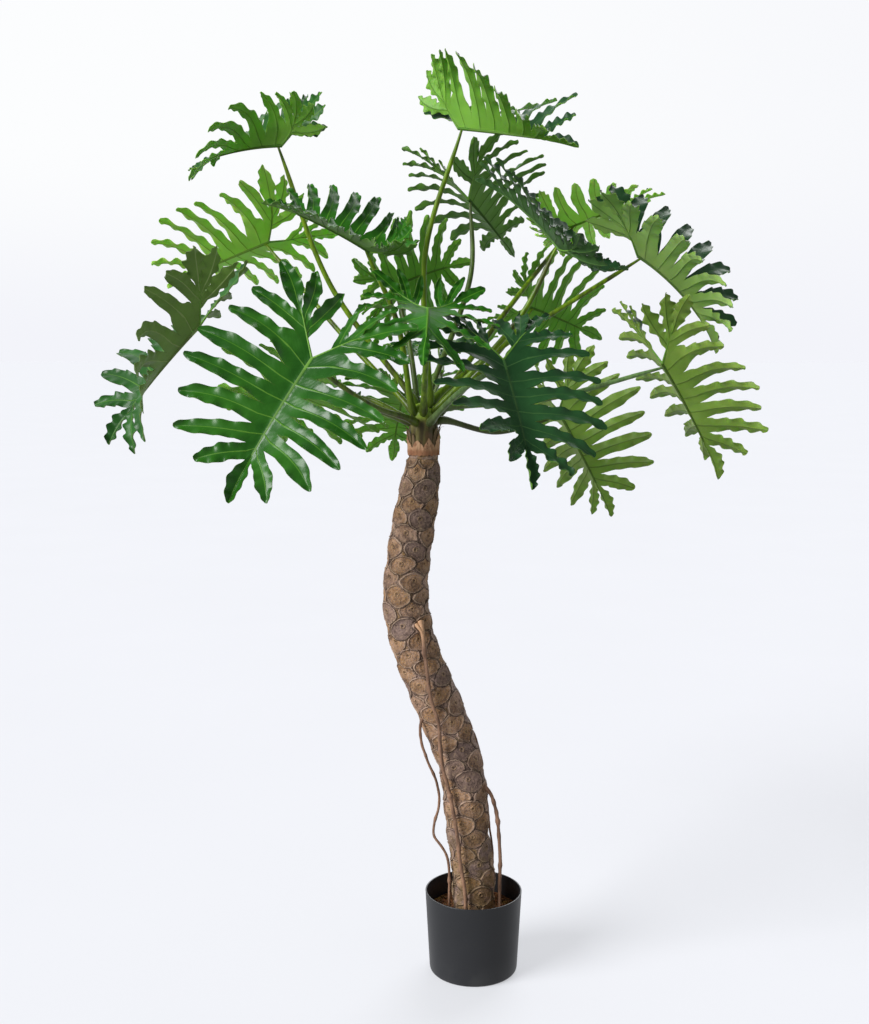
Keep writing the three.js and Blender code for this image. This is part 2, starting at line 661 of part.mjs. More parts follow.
    const innerNotchSpot = notch(posterior[1].spot, endTip, innerTip);
    const innerNotch = sideNode(innerNotchSpot, 0);
    const end = lobe(outerNotch, innerNotch, outerNotchSpot, innerNotchSpot, endTip);
    tri(posterior[1].point, end.bellyA, outerNotch);
    tri(posterior[1].point, posteriorEnd, end.bellyA);
    tri(posterior[1].point, end.bellyB, posteriorEnd);
    tri(posterior[1].point, innerNotch, end.bellyB);
    tri(posteriorEnd, end.tipA, end.bellyA);
    tri(posteriorEnd, end.tipB, end.tipA);
    tri(posteriorEnd, end.bellyB, end.tipB);

    const inner = lobe(innerNotch, posterior[0].point, innerNotchSpot, posterior[0].spot, innerTip);
    tri(posterior[1].point, posterior[0].point, innerNotch);
    quad(posterior[0].point, inner.bellyB, inner.bellyA, innerNotch);
    quad(inner.bellyB, inner.tipB, inner.tipA, inner.bellyA);
    edge(midribAt(0), posterior[0].point);
    ends.push(notches[0]);
  }

  // Terminal lobe
  const tipHalf = size * LOBE_TIP_HALF_WIDTH;
  const bellyHalf = size * LOBE_HALF_WIDTH;
  const bellyRight = node(bellyHalf, MIDRIB_END * size, 0);
  const bellyLeft = node(-bellyHalf, MIDRIB_END * size, 0);
  const tipRight = node(tipHalf, size * 1.02);
  const tipLeft = node(-tipHalf, size * 1.02);
  const [right, left] = ends.map((end) => end.point);
  face3(last.right, right, bellyRight);
  face3(last.right, bellyRight, ribEnd);
  face3(ribEnd, bellyRight, tipRight);
  face3(ribEnd, tipRight, tipLeft);
  face3(ribEnd, tipLeft, bellyLeft);
  face3(last.left, ribEnd, bellyLeft);
  face3(last.left, bellyLeft, left);
  wall(right, bellyRight);
  wall(bellyRight, tipRight);
  wall(tipRight, tipLeft);
  wall(tipLeft, bellyLeft);
  wall(bellyLeft, left);
  // Midrib direction and the face's normal where the stalk meets the blade
  const tangent = forward.clone().multiplyScalar(Math.cos(start))
    .addScaledVector(face, Math.sin(start));
  const normal = face.clone().multiplyScalar(Math.cos(start))
    .addScaledVector(forward, -Math.sin(start));
  return { geometry: meshOf(points, triangles), tangent, normal, base };
}

// Leaf stalk: a straight pin in the crown, then a rising curve to the blade
function stalkPath(leaf, blade) {
  const ring = CROWN_RINGS[leaf.ring];
  const bearing = THREE.MathUtils.degToRad(leaf.bearing);
  const mouth = new THREE.Vector3(
    NECK_X + ring.radius * Math.cos(bearing), ring.radius * Math.sin(bearing), ring.level);
  const out = new THREE.Vector3(Math.cos(bearing), Math.sin(bearing), ring.steep).normalize();
  const end = blade.base.clone()
    .addScaledVector(blade.normal, -BLADE_THICKNESS)
    .addScaledVector(blade.tangent, PETIOLE_BLADE_OVERLAP);
  return [
    mouth.clone().addScaledVector(out, -PETIOLE_PIN_DEPTH),
    mouth.clone().addScaledVector(out, 6),
    new THREE.Vector3(...leaf.way),
    end,
  ];
}

const STALK_SIDES = 5;
const STALK_STEPS = 7;
const stalkRadii = [
  PETIOLE_PIN_RADIUS, PETIOLE_FOOT_RADIUS, PETIOLE_FOOT_RADIUS * 0.85, PETIOLE_BLADE_RADIUS,
];
let trunk = toSolid(trunkGeometry());
LEAVES.forEach((leaf, n) => {
  const blade = bladeGeometry(leaf, 100 + n);
  const path = stalkPath(leaf, blade);
  const stalk = toSolid(stemGeometry(path, stalkRadii, STALK_SIDES, STALK_STEPS));
  const socket = toSolid(stemGeometry(
    path, stalkRadii.map((radius) => radius + PETIOLE_SOCKET_GAP), STALK_SIDES, STALK_STEPS));
  trunk = trunk.subtract(socket);
  const whole = stalk.add(toSolid(blade.geometry));
  const finish = leaf.finish ?? "leaf";
  addMesh("leaf_" + String(n + 1).padStart(2, "0"), toGeometry(whole), FINISH[finish]);
});

// Aerial roots, seated in the trunk at the top and in the soil at the bottom
const ROOT_SIDES = 6;
const ROOT_STEPS = 16;
const rootBores = [];
ROOTS.forEach((root, n) => {
  const points = root.map(([x, y, z]) => new THREE.Vector3(x, y, z));
  const radii = root.map((row) => row[3]);
  const stem = stemGeometry(points, radii, ROOT_SIDES, ROOT_STEPS);
  addMesh("aerial_root_" + (n + 1), stem, FINISH.root);
  const bore = toSolid(stemGeometry(
    points, radii.map((radius) => radius + FIT_GAP), ROOT_SIDES, ROOT_STEPS));
  rootBores.push(bore);
  trunk = trunk.subtract(bore);
});
addMesh("trunk", toGeometry(trunk), FINISH.trunk);

// Collar: the dry ends of old leaf sheaths, a band round the neck with torn tips that flare
function collarGeometry() {
  const random = randomSource(7);
  const sheet = sheetBuilder();
  const inner = NECK_RADIUS + COLLAR_GAP;
  const columns = 2 * COLLAR_TIPS;
  const node = (k, level, flare) => {
    const angle = (k * 2 * Math.PI) / columns;
    const at = (radius) => new THREE.Vector3(
      NECK_X + radius * Math.cos(angle), radius * Math.sin(angle), level);
    return sheet.node(at(inner + flare + COLLAR_WALL), at(inner + flare));
  };
  const bottom = [];
  const band = [];
  const tips = [];
  for (let k = 0; k < columns; k += 1) {
    bottom.push(node(k, COLLAR_BOTTOM, 0));
    band.push(node(k, COLLAR_BOTTOM + COLLAR_BAND + COLLAR_BAND_JITTER * random(), 0.8));
    const rise = COLLAR_TIP_RISE * (0.7 + 0.3 * random());
    tips.push(k % 2 ? node(k, COLLAR_BOTTOM + COLLAR_BAND + rise, COLLAR_FLARE * random()) : null);
  }
  for (let k = 0; k < columns; k += 1) {
    const next = (k + 1) % columns;
    sheet.face4(bottom[k], bottom[next], band[next], band[k]);
    sheet.wall(bottom[k], bottom[next]);
    const tip = tips[k] ?? tips[next];
    sheet.face3(band[k], band[next], tip);
    if (tips[k]) sheet.wall(band[next], tip);
    else sheet.wall(tip, band[k]);
  }
  return meshOf(sheet.points, sheet.triangles);
}
addMesh("sheath_collar", collarGeometry(), FINISH.collar);

// Soil: a filled plug with an uneven top and plain blind holes for the trunk and the roots
function soilGeometry() {
  const random = randomSource(19);
  const segments = 24;
  const floorLevel = POT_WALL + FIT_GAP;
  const inside = (level) => POT_BASE_RADIUS - POT_WALL - SOIL_SIDE_GAP + potSlope * level;
  const rings = [
    { radius: () => inside(floorLevel), level: () => floorLevel },
    { radius: () => inside(SOIL_LEVEL - SOIL_BUMP), level: () => SOIL_LEVEL - SOIL_BUMP },
    { radius: () => 62 + 5 * random(), level: () => SOIL_LEVEL + SOIL_BUMP * (random() - 0.5) },
    { radius: () => 47 + 4 * random(), level: () => SOIL_LEVEL + SOIL_BUMP * (random() - 0.4) },
  ];
  const points = [];
  const triangles = [];
  for (const ring of rings) {
    for (let k = 0; k < segments; k += 1) {
      const angle = (k * 2 * Math.PI) / segments;
      const radius = ring.radius();
      points.push(new THREE.Vector3(
        radius * Math.cos(angle), radius * Math.sin(angle), ring.level()));
    }
  }
  const lowest = points.push(new THREE.Vector3(0, 0, floorLevel)) - 1;
  const highest = points.push(new THREE.Vector3(0, 0, SOIL_LEVEL)) - 1;
  const lastRing = (rings.length - 1) * segments;
  for (let k = 0; k < segments; k += 1) {
    const next = (k + 1) % segments;
    triangles.push([lowest, next, k], [highest, lastRing + k, lastRing + next]);
    for (let r = 0; r < lastRing; r += segments) {
      triangles.push([r + k, r + next, r + segments + next]);
      triangles.push([r + k, r + segments + next, r + segments + k]);
    }
  }
  return meshOf(points, triangles);
}
let soil = toSolid(soilGeometry());
const trunkHole = new THREE.CylinderGeometry(
  TRUNK_FOOT_RADIUS + FIT_GAP, TRUNK_FOOT_RADIUS + FIT_GAP, POT_HEIGHT, 4 * SCARS_AROUND);
trunkHole.rotateX(Math.PI / 2);
trunkHole.translate(0, 0, TRUNK_FOOT_LEVEL - FIT_GAP + POT_HEIGHT / 2);
soil = soil.subtract(toSolid(trunkHole));
rootBores.forEach((bore) => {
  soil = soil.subtract(bore);
});
addMesh("soil", toGeometry(soil), FINISH.soil);

export default plant;
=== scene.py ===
import math

import bpy
import numpy as np
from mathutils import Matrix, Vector, noise


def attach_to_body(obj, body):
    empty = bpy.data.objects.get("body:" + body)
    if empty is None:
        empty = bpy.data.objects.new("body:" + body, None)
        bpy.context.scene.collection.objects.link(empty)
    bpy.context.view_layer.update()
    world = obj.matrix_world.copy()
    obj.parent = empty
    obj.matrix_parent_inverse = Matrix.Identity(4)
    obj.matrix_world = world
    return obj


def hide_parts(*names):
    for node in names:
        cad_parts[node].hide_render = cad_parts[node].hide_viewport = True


# Looks of the potted lacy tree philodendron, in metres with +Z up.
# The origin is the middle of the pot's underside, and the photo looks along +Y.
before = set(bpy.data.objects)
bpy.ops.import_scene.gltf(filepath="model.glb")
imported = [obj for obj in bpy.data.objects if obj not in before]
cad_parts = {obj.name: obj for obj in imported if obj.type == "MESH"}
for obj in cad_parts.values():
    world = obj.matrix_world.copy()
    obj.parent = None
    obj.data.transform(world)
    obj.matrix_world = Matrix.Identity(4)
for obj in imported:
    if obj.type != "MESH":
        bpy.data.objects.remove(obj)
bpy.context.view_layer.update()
scene = bpy.context.scene
MM = 0.001
FULL_TURN = 2 * math.pi

# Camera
# It stands where the photo was taken, a little over two metres away at a metre's height, and looks
# slightly down. The lens gives the photo's own width of view on the long side of the picture.
CAMERA_PLACE = (-0.067, -2.05, 1.05)
CAMERA_DIP = 7.15
CAMERA_LENS = 43.95
camera = bpy.data.objects.new("photo_camera", bpy.data.cameras.new("photo_camera"))
camera.data.sensor_width = 36
camera.data.lens = CAMERA_LENS
camera.location = CAMERA_PLACE
camera.rotation_euler = (math.radians(90 - CAMERA_DIP), 0, 0)
scene.collection.objects.link(camera)
scene.camera = camera
scene.view_settings.view_transform = "Standard"

# Pot
# A plain round nursery bucket, injection moulded in charcoal polypropylene. Its wall is thin and
# slightly tapered, the lip is square with softened corners, and the foot turns in on a small radius.
POT_HEIGHT = 140 * MM
POT_RIM_RADIUS = 82.5 * MM
POT_BASE_RADIUS = 75 * MM
POT_WALL = 2.4 * MM
POT_FOOT_ROUND = 5 * MM
POT_LIP_ROUND = 0.7 * MM
POT_SEGMENTS = 160
# Sockets of the node that mixes colours
MIX_SHARE, MIX_FIRST, MIX_SECOND, MIX_RESULT = 0, 6, 7, 2


def linear(colour):
    """Linear colour with alpha from an sRGB hex value."""
    shares = [int(colour[i:i + 2], 16) / 255 for i in (1, 3, 5)]
    return [s / 12.92 if s <= 0.04045 else ((s + 0.055) / 1.055) ** 2.4 for s in shares] + [1.0]


def add(tree, kind, inputs=(), out=0, **settings):
    """Adds a shader node and gives one of its outputs, or all of them where out is None.

    The inputs are numbers, hex colours and outputs of other nodes, as a list in the node's own order
    or as a dictionary."""
    made = tree.nodes.new("ShaderNode" + kind)
    for name, value in settings.items():
        setattr(made, name, value)
    for name, value in inputs.items() if isinstance(inputs, dict) else enumerate(inputs):
        if isinstance(value, bpy.types.NodeSocket):
            tree.links.new(value, made.inputs[name])
        else:
            made.inputs[name].default_value = linear(value) if isinstance(value, str) else value
    return made.outputs if out is None else made.outputs[out]


def finish(name, roughness, ior, gloss=0.5):
    """New material, with its node tree and its shader's inputs."""
    material = bpy.data.materials.new(name)
    material.use_nodes = True
    shader = material.node_tree.nodes["Principled BSDF"].inputs
    for key, value in (("Roughness", roughness), ("IOR", ior), ("Specular IOR Level", gloss)):
        shader[key].default_value = value
    return material, material.node_tree, shader


def level_in(tree):
    """Level of a spot above the floor, in metres."""
    return add(tree, "SeparateXYZ", [add(tree, "TexCoord", out="Object")], "Z")


def speckle(tree, size, detail=3.0, stretch=(1, 1, 1), rough=0.55):
    """Pattern from 0 to 1 whose blotches are about as large as size, in metres."""
    place = add(tree, "Mapping", {"Vector": add(tree, "TexCoord", out="Object"), "Scale": stretch})
    return add(tree, "TexNoise", {"Vector": place, "Scale": 0.5 / size, "Detail": detail, "Roughness": rough})


def past(tree, *bands):
    """Share from 0 to 1, full where each value is past its band from a first to a second mark."""
    share = 1.0
    for value, first, second in bands:
        step = add(tree, "MapRange", [value, first, second, 0.0, 1.0], interpolation_type="SMOOTHSTEP")
        share = add(tree, "Math", [share, step], operation="MULTIPLY")
    return share


def coat(tree, under, share, colour, strength=1.0):
    """Colour with a coat of another over it, as thick as the share and the strength say."""
    share = add(tree, "Math", [share, strength], operation="MULTIPLY")
    inputs = {MIX_SHARE: share, MIX_FIRST: under, MIX_SECOND: colour}
    return add(tree, "Mix", inputs, MIX_RESULT, data_type="RGBA")


def surface(tree, shader, colour, height=None, depth=0.0):
    """Gives a shader its colour, and fine relief of a depth in metres from a height from 0 to 1."""
    tree.links.new(colour, shader["Base Color"])
    if height is not None:
        bumps = add(tree, "Bump", {"Height": height, "Distance": depth, "Strength": 1.0})
        tree.links.new(bumps, shader["Normal"])


def piece(name, points, faces, materials, slot, replaced, kinds=None, crease=50):
    """Mesh object with smooth shading that rides on the plant's one body, in place of a solid."""
    mesh = bpy.data.meshes.new(name)
    mesh.from_pydata(np.asarray(points).tolist(), [], faces)
    for material in materials:
        mesh.materials.append(material)
    if kinds is not None:
        mesh.polygons.foreach_set("material_index", np.asarray(kinds, np.int32))
    mesh.shade_smooth()
    mesh.set_sharp_from_angle(angle=math.radians(crease))
    made = bpy.data.objects.new(name, mesh)
    scene.collection.objects.link(made)
    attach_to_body(made, "root")
    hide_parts(replaced)
    return made


def ring_faces(rings, sides):
    """Faces between rings of points, one after another."""
    corners = [(i * sides + j, i * sides + (j + 1) % sides) for i in range(rings - 1) for j in range(sides)]
    return [[a, b, b + sides, a + sides] for a, b in corners]


def stem_faces(rings, sides):
    """Faces of a closed stem: rings of points, then one point at its start and one at its end."""
    faces, top = ring_faces(rings, sides), (rings - 1) * sides
    for j in range(sides):
        n = (j + 1) % sides
        faces += [[rings * sides, n, j], [rings * sides + 1, top + j, top + n]]
    return faces


def turned(outline, segments):
    """Points and faces of an outline of radius and level, from axis to axis, turned round the upright."""
    turns = np.arange(segments) * FULL_TURN / segments
    points = [
        (radius * math.cos(t), radius * math.sin(t), level)
        for radius, level in outline[1:-1] for t in turns]
    points += [(0, 0, outline[0][1]), (0, 0, outline[-1][1])]
    return points, stem_faces(len(outline) - 2, segments)


def arc(centre_radius, centre_level, size, start, end, steps):
    """Outline points on part of a circle, with angles in degrees from straight out."""
    turns = np.radians(np.linspace(start, end, steps))
    return [(centre_radius + size * math.cos(t), centre_level + size * math.sin(t)) for t in turns]


pot_slope = (POT_RIM_RADIUS - POT_BASE_RADIUS) / POT_HEIGHT
lip_level = POT_HEIGHT - POT_LIP_ROUND
outer_levels = np.linspace(POT_FOOT_ROUND * 1.4, lip_level - POT_LIP_ROUND, 12)
inner_levels = np.linspace(lip_level - POT_LIP_ROUND, POT_WALL * 2, 8)
pot_outline = [(0, 0), (POT_BASE_RADIUS - POT_FOOT_ROUND, 0)]
pot_outline += arc(POT_BASE_RADIUS - POT_FOOT_ROUND, POT_FOOT_ROUND, POT_FOOT_ROUND, -75, -3, 7)
pot_outline += [(POT_BASE_RADIUS + pot_slope * level, level) for level in outer_levels]
pot_outline += arc(POT_RIM_RADIUS - POT_LIP_ROUND, lip_level, POT_LIP_ROUND, 0, 90, 5)
pot_outline += arc(POT_RIM_RADIUS - POT_WALL + POT_LIP_ROUND, lip_level, POT_LIP_ROUND, 90, 180, 5)
pot_outline += [(POT_BASE_RADIUS - POT_WALL + pot_slope * level, level) for level in inner_levels]
pot_outline += [(POT_BASE_RADIUS - POT_WALL * 1.6, POT_WALL), (0, POT_WALL)]

# Moulded polypropylene is semi-matt, with a fine spark-etched grain and faint dust near the foot
polypropylene, tree, shader = finish("moulded_polypropylene", 0.39, 1.49)
cloud = speckle(tree, 45 * MM, 4)
colour = coat(tree, "#222326", cloud, "#292a2d")
colour = coat(tree, colour, past(tree, (level_in(tree), 50 * MM, 0.0), (cloud, 0.4, 0.7)), "#4c4c4b", 0.35)
shine = add(tree, "MapRange", [cloud, 0.3, 0.7, 0.34, 0.44], interpolation_type="SMOOTHSTEP")
tree.links.new(shine, shader["Roughness"])
surface(tree, shader, colour, speckle(tree, 0.9 * MM, 2), 0.08 * MM)
piece("pot_bucket", *turned(pot_outline, POT_SEGMENTS), [polypropylene], "pot", "pot")

# Soil
# A filled plug topped with loose coir: brown crumbs, short husk fibres and a little golden moss.
# The trunk's foot and the roots stand in plain holes in it, and it fills the pot to 36 mm under the rim.
SOIL_LEVEL = 104 * MM
SOIL_HOLE_RADIUS = 34.8 * MM
SOIL_HOLE_FLOOR = 43.7 * MM
SOIL_FLOOR = POT_WALL + 0.3 * MM
SOIL_EDGE_GAP = 0.8 * MM
SOIL_RINGS = 22
SOIL_SEGMENTS = 150
CRUMBS = 620
FIBRES = 210
soil_random = np.random.default_rng(19)


def rough(point, size, seed=0.0):
    """Noise from -1 to 1 at a point, with waves about as long as size."""
    return noise.noise(Vector(point) / size + Vector((seed, seed * 1.7, -seed)))


def soil_height(x, y):
    """Level of the coir at a spot."""
    spot = (x, y, 0)
    return SOIL_LEVEL + 2.6 * MM * rough(spot, 28 * MM) + 1.3 * MM * rough(spot, 7 * MM, 3)


soil_edge = POT_BASE_RADIUS - POT_WALL - SOIL_EDGE_GAP
radii = np.linspace(SOIL_HOLE_RADIUS, soil_edge + pot_slope * SOIL_LEVEL, SOIL_RINGS)
outline = [(0, SOIL_HOLE_FLOOR), (SOIL_HOLE_RADIUS, SOIL_HOLE_FLOOR)]
outline += [(radius, SOIL_LEVEL) for radius in radii]
outline += [(soil_edge + pot_slope * SOIL_FLOOR, SOIL_FLOOR), (0, SOIL_FLOOR)]
points, faces = turned(outline, SOIL_SEGMENTS)
points = [(x, y, soil_height(x, y) if z == SOIL_LEVEL else z) for x, y, z in points]
soil_parts = [(points, [face[::-1] for face in faces])]


def curve_through(knots, count):
    """Evenly spaced points on the rounded curve through the knots, and each point's place among them."""
    knots = np.asarray(knots, float)
    ends = np.vstack([2 * knots[0] - knots[1], knots, 2 * knots[-1] - knots[-2]])
    fine, places = [], []
    for k in range(len(knots) - 1):
        before, start, end, after = ends[k:k + 4]
        gap0, gap1, gap2 = (
            np.linalg.norm(b - a) ** 0.5 for a, b in ((before, start), (start, end), (end, after)))
        out = ((start - before) / gap0 - (end - before) / (gap0 + gap1) + (end - start) / gap1) * gap1
        into = ((end - start) / gap1 - (after - start) / (gap1 + gap2) + (after - end) / gap2) * gap1
        share = np.linspace(0, 1, 40, endpoint=k == len(knots) - 2)[:, None]
        fine.append(
            start + out * share + (3 * (end - start) - 2 * out - into) * share ** 2
            + (2 * (start - end) + out + into) * share ** 3)
        places.append(k + share[:, 0])
    fine, places = np.vstack(fine), np.concatenate(places)
    walked = distances(fine)
    at = np.linspace(0, walked[-1], count)
    points = np.stack([np.interp(at, walked, fine[:, axis]) for axis in range(3)], axis=1)
    return points, np.interp(at, walked, places)


def distances(path):
    """Distance along a path at each of its points."""
    return np.concatenate([[0], np.cumsum(np.linalg.norm(np.diff(path, axis=0), axis=1))])


def tube(path, radii, sides):
    """Points and faces of a closed round stem with domed ends."""
    tangents = np.gradient(path, axis=0)
    tangents /= np.linalg.norm(tangents, axis=1)[:, None]
    # The sides turn as little as they can from one ring to the next
    start = np.cross(tangents[0], (0.0, 1.0, 0.0) if abs(tangents[0][1]) < 0.9 else (1.0, 0.0, 0.0))
    across = [start / np.linalg.norm(start)]
    for tangent in tangents[1:]:
        side = across[-1] - tangent * np.dot(across[-1], tangent)
        across.append(side / np.linalg.norm(side))
    across = np.array(across)
    up = np.cross(tangents, across)
    turns = (np.arange(sides) * FULL_TURN / sides)[None, :, None]
    radii = np.broadcast_to(radii, (len(path),))
    rings = np.cos(turns) * across[:, None] + np.sin(turns) * up[:, None]
    rings = path[:, None] + radii[:, None, None] * rings
    domes = [path[0] - tangents[0] * radii[0] * 0.5, path[-1] + tangents[-1] * radii[-1] * 0.5]
    return np.vstack([rings.reshape(-1, 3), domes]), stem_faces(len(path), sides)


def join(parts):
    """One list of points and faces from several, and each face's part number."""
    points, faces, numbers = [], [], []
    for number, (part_points, part_faces) in enumerate(parts):
        start = len(points)
        points += [tuple(p) for p in part_points]
        faces += [[start + i for i in face] for face in part_faces]
        numbers += [number] * len(part_faces)
    return points, faces, numbers


# A crumb is a lump with a lower and an upper row of five corners, and one corner at each end
CRUMB_CORNERS = np.array([
    (math.cos(a) * math.cos(rise), math.sin(a) * math.cos(rise), math.sin(rise))
    for rise, turn in ((-0.6, 0), (0.6, math.pi / 5)) for a in np.arange(5) * FULL_TURN / 5 + turn
] + [(0, 0, -1), (0, 0, 1)])
CRUMB_FACES = [
    face for k, n in ((0, 1), (1, 2), (2, 3), (3, 4), (4, 0))
    for face in ([10, n, k], [11, 5 + k, 5 + n], [k, n, 5 + k], [n, 5 + n, 5 + k])
]
for number in range(CRUMBS):
    turn = soil_random.uniform(0, FULL_TURN)
    radius = math.sqrt(soil_random.uniform((SOIL_HOLE_RADIUS + 2 * MM) ** 2, (radii[-1] - 3 * MM) ** 2))
    x, y = radius * math.cos(turn), radius * math.sin(turn)
    size = soil_random.uniform(0.9, 2.9) * MM * np.array([1.3, 1.0, 0.7])
    twist = soil_random.uniform(0, math.pi)
    corners = CRUMB_CORNERS * soil_random.uniform(0.7, 1.2, (12, 1)) * size
    east, north = math.cos(twist), math.sin(twist)
    spun = corners[:, :2] @ np.array([[east, north], [-north, east]])
    centre = (x, y, soil_height(x, y) + 0.3 * size[2])
    soil_parts.append((np.column_stack([spun, corners[:, 2]]) + centre, CRUMB_FACES))
for number in range(FIBRES):
    turn = soil_random.uniform(0, FULL_TURN)
    radius = soil_random.uniform(SOIL_HOLE_RADIUS + 5 * MM, radii[-1] - 8 * MM)
    middle = np.array([radius * math.cos(turn), radius * math.sin(turn)])
    way = soil_random.uniform(0, FULL_TURN)
    heading = np.array([math.cos(way), math.sin(way)])
    bend = np.array([-heading[1], heading[0]]) * soil_random.uniform(-3, 3) * MM
    reach = soil_random.uniform(3, 6) * MM
    knots = []
    for share in (-1, -0.3, 0.4, 1):
        x, y = middle + heading * reach * share + bend * (1 - share ** 2)
        lift = (0.6 + 1.6 * soil_random.uniform() * abs(share)) * MM
        knots.append((x, y, soil_height(x, y) + lift))
    path, places = curve_through(knots, 7)
    soil_parts.append(tube(path, soil_random.uniform(0.2, 0.42) * MM, 4))

# Coir pith is dull and dark brown with rusty crumbs, and its fibres are lighter and straw coloured
coir, tree, shader = finish("coir_pith", 0.95, 1.45)
lumps = speckle(tree, 3 * MM, 4)
colour = coat(tree, "#3a2415", past(tree, (lumps, 0.35, 0.65)), "#7d4a22")
colour = coat(tree, colour, past(tree, (speckle(tree, 14 * MM), 0.55, 0.7)), "#8a6a2c")
surface(tree, shader, colour, lumps, 0.9 * MM)
husk, tree, shader = finish("coir_fibre", 0.8, 1.5)
surface(tree, shader, coat(tree, "#6e4420", speckle(tree, 6 * MM), "#b58a52"))
points, faces, numbers = join(soil_parts)
piece("coir_soil", points, faces, [coir, husk], "soil", "soil", [int(n > CRUMBS) for n in numbers], 70)

# Trunk
# A moulded copy of the real bark over a weighted core, bent in a slow S. Old leaf scars stand in
# staggered rows as ovals with a raised edge, a groove round them and a small off-centre bundle ring.
TRUNK_FOOT_LEVEL = 44 * MM
TRUNK_ANKLE_LEVEL = 112 * MM
TRUNK_FOOT_RADIUS = 34.5 * MM
TRUNK_MEAN_RADIUS = 36.5 * MM
# Sideways place, level and radius of the curved part, in millimetres
TRUNK_LINE = [
    (0, 125, 35), (0, 160, 35.5), (-3, 195, 35.5), (-9, 230, 34.5), (-12, 265, 35.5), (-14, 300, 37),
    (-18, 335, 36.5), (-25, 370, 36.5), (-37, 405, 37.5), (-50, 440, 38.5), (-64, 475, 38.5),
    (-79, 510, 38), (-93, 545, 37), (-104, 580, 37), (-111, 612, 37.5), (-115, 645, 37.5),
    (-114, 680, 36), (-110, 716, 35), (-105, 752, 35), (-99, 788, 34), (-93, 822, 32.5),
    (-89, 850, 30), (-86, 874, 26.5),
]
NECK_X = -85 * MM
NECK_BOTTOM = 883 * MM
NECK_TOP = 930 * MM
NECK_RADIUS = 24 * MM
# Level and radius of the rings of stalks in the crown, and how steeply the stalks leave it
CROWN_RINGS = [(940, 23.5, 0.7), (956, 20, 1.1), (969, 14, 3)]
CROWN_TOP_LEVEL = 974 * MM
CROWN_START_LEVEL = 900 * MM
SCAR_ROW_PITCH = 25.5 * MM
SCARS_AROUND = 5
SCAR_HALF_WIDTH = 22 * MM
SCAR_HALF_HEIGHT = 16 * MM
SCAR_REACH = 1.07
BARK_ROWS = 500
BARK_COLUMNS = 176
# Bark form in millimetres by the distance from a scar's middle, where 1 is its outline
BARK_PLACES = [0, 0.45, 0.8, 0.93, 1.03, 1.15, 1.4, 2]
BARK_RISES = [-0.9, -0.2, 0.8, 1.6, 0.7, 0.2, 0.0, -0.1]
# Zone of the plain bark of the neck: outside any scar, middling tone, far from any bundle ring
PLAIN_BARK = (1.6, 0.5, 20.0)


def repeatable(seed):
    """Repeatable random numbers from 0 to 1, the same as the ones that the solids were made with."""
    state = seed

    def draw():
        nonlocal state
        state = (state * 1664525 + 1013904223) % 4294967296
        return state / 4294967296
    return draw


trunk_x, trunk_z, trunk_radii = np.array(TRUNK_LINE, float).T * MM
trunk_path, trunk_places = curve_through(np.stack([trunk_x, 0 * trunk_x, trunk_z], axis=1), 600)
walked = distances(trunk_path)

# Places of the scars: distance along the trunk's line and angle round it
draw = repeatable(41)
scar_rows = int(walked[-1] // SCAR_ROW_PITCH) - 1
scar_start = (walked[-1] - scar_rows * SCAR_ROW_PITCH) / 2
scars = []
for row in range(scar_rows + 1):
    for k in range(2 * SCARS_AROUND):
        along = scar_start + row * SCAR_ROW_PITCH + (draw() - 0.5) * 4 * MM
        angle = k * math.pi / SCARS_AROUND + (draw() - 0.5) * 0.12
        if (k + row) % 2 == 0:
            scars.append((along, angle))
# One more row at the foot, partly under the soil, and one under the neck
for row in (-1, scar_rows + 1):
    for k in range(row % 2, 2 * SCARS_AROUND, 2):
        scars.append((scar_start + row * SCAR_ROW_PITCH, k * math.pi / SCARS_AROUND))
scars = np.array(scars)
bark_random = np.random.default_rng(23)
scar_width = SCAR_HALF_WIDTH * bark_random.uniform(0.96, 1.16, len(scars))
scar_height = SCAR_HALF_HEIGHT * bark_random.uniform(0.98, 1.22, len(scars))
scar_tone = bark_random.uniform(0, 1, len(scars))
scar_tilt = bark_random.uniform(-0.3, 0.3, len(scars))
# Rounder scars have the power 2, and those with pointed ends, like an eye, a lower one
scar_power = bark_random.uniform(1.25, 2.0, len(scars))
eye_shift = bark_random.uniform(-2.5, 2.5, len(scars)) * MM
eye_rise = bark_random.uniform(1.5, 4.5, len(scars)) * MM

# Centre line of the whole trunk from foot to crown, with the distance along its curved part
row_levels = np.concatenate([
    np.linspace(TRUNK_FOOT_LEVEL, TRUNK_ANKLE_LEVEL, 12, endpoint=False),
    np.linspace(TRUNK_ANKLE_LEVEL, NECK_BOTTOM, BARK_ROWS, endpoint=False),
    np.linspace(NECK_BOTTOM, NECK_TOP, 24, endpoint=False),
    np.linspace(NECK_TOP, CROWN_TOP_LEVEL - 1 * MM, 22),
])
row_along = np.interp(row_levels, trunk_path[:, 2], walked)
row_along += np.minimum(row_levels - trunk_path[0, 2], 0)
row_along += np.maximum(row_levels - trunk_path[-1, 2], 0)
line_levels = np.concatenate([
    [TRUNK_FOOT_LEVEL, TRUNK_ANKLE_LEVEL], trunk_path[:, 2],
    [NECK_BOTTOM, NECK_TOP, 956 * MM, 969 * MM, CROWN_TOP_LEVEL]])
line_x = np.concatenate([[0, 0], trunk_path[:, 0], [NECK_X] * 5])
line_radii = np.concatenate([
    [TRUNK_FOOT_RADIUS] * 2, np.interp(trunk_places, range(len(trunk_radii)), trunk_radii),
    [NECK_RADIUS, NECK_RADIUS, 22 * MM, 16 * MM, 2 * MM]])
row_x = np.interp(row_levels, line_levels, line_x)
row_radius = np.interp(row_levels, line_levels, line_radii)
lean = np.gradient(row_x, row_levels)
lean = np.convolve(np.pad(lean, 6, mode="edge"), np.ones(13) / 13, mode="valid")


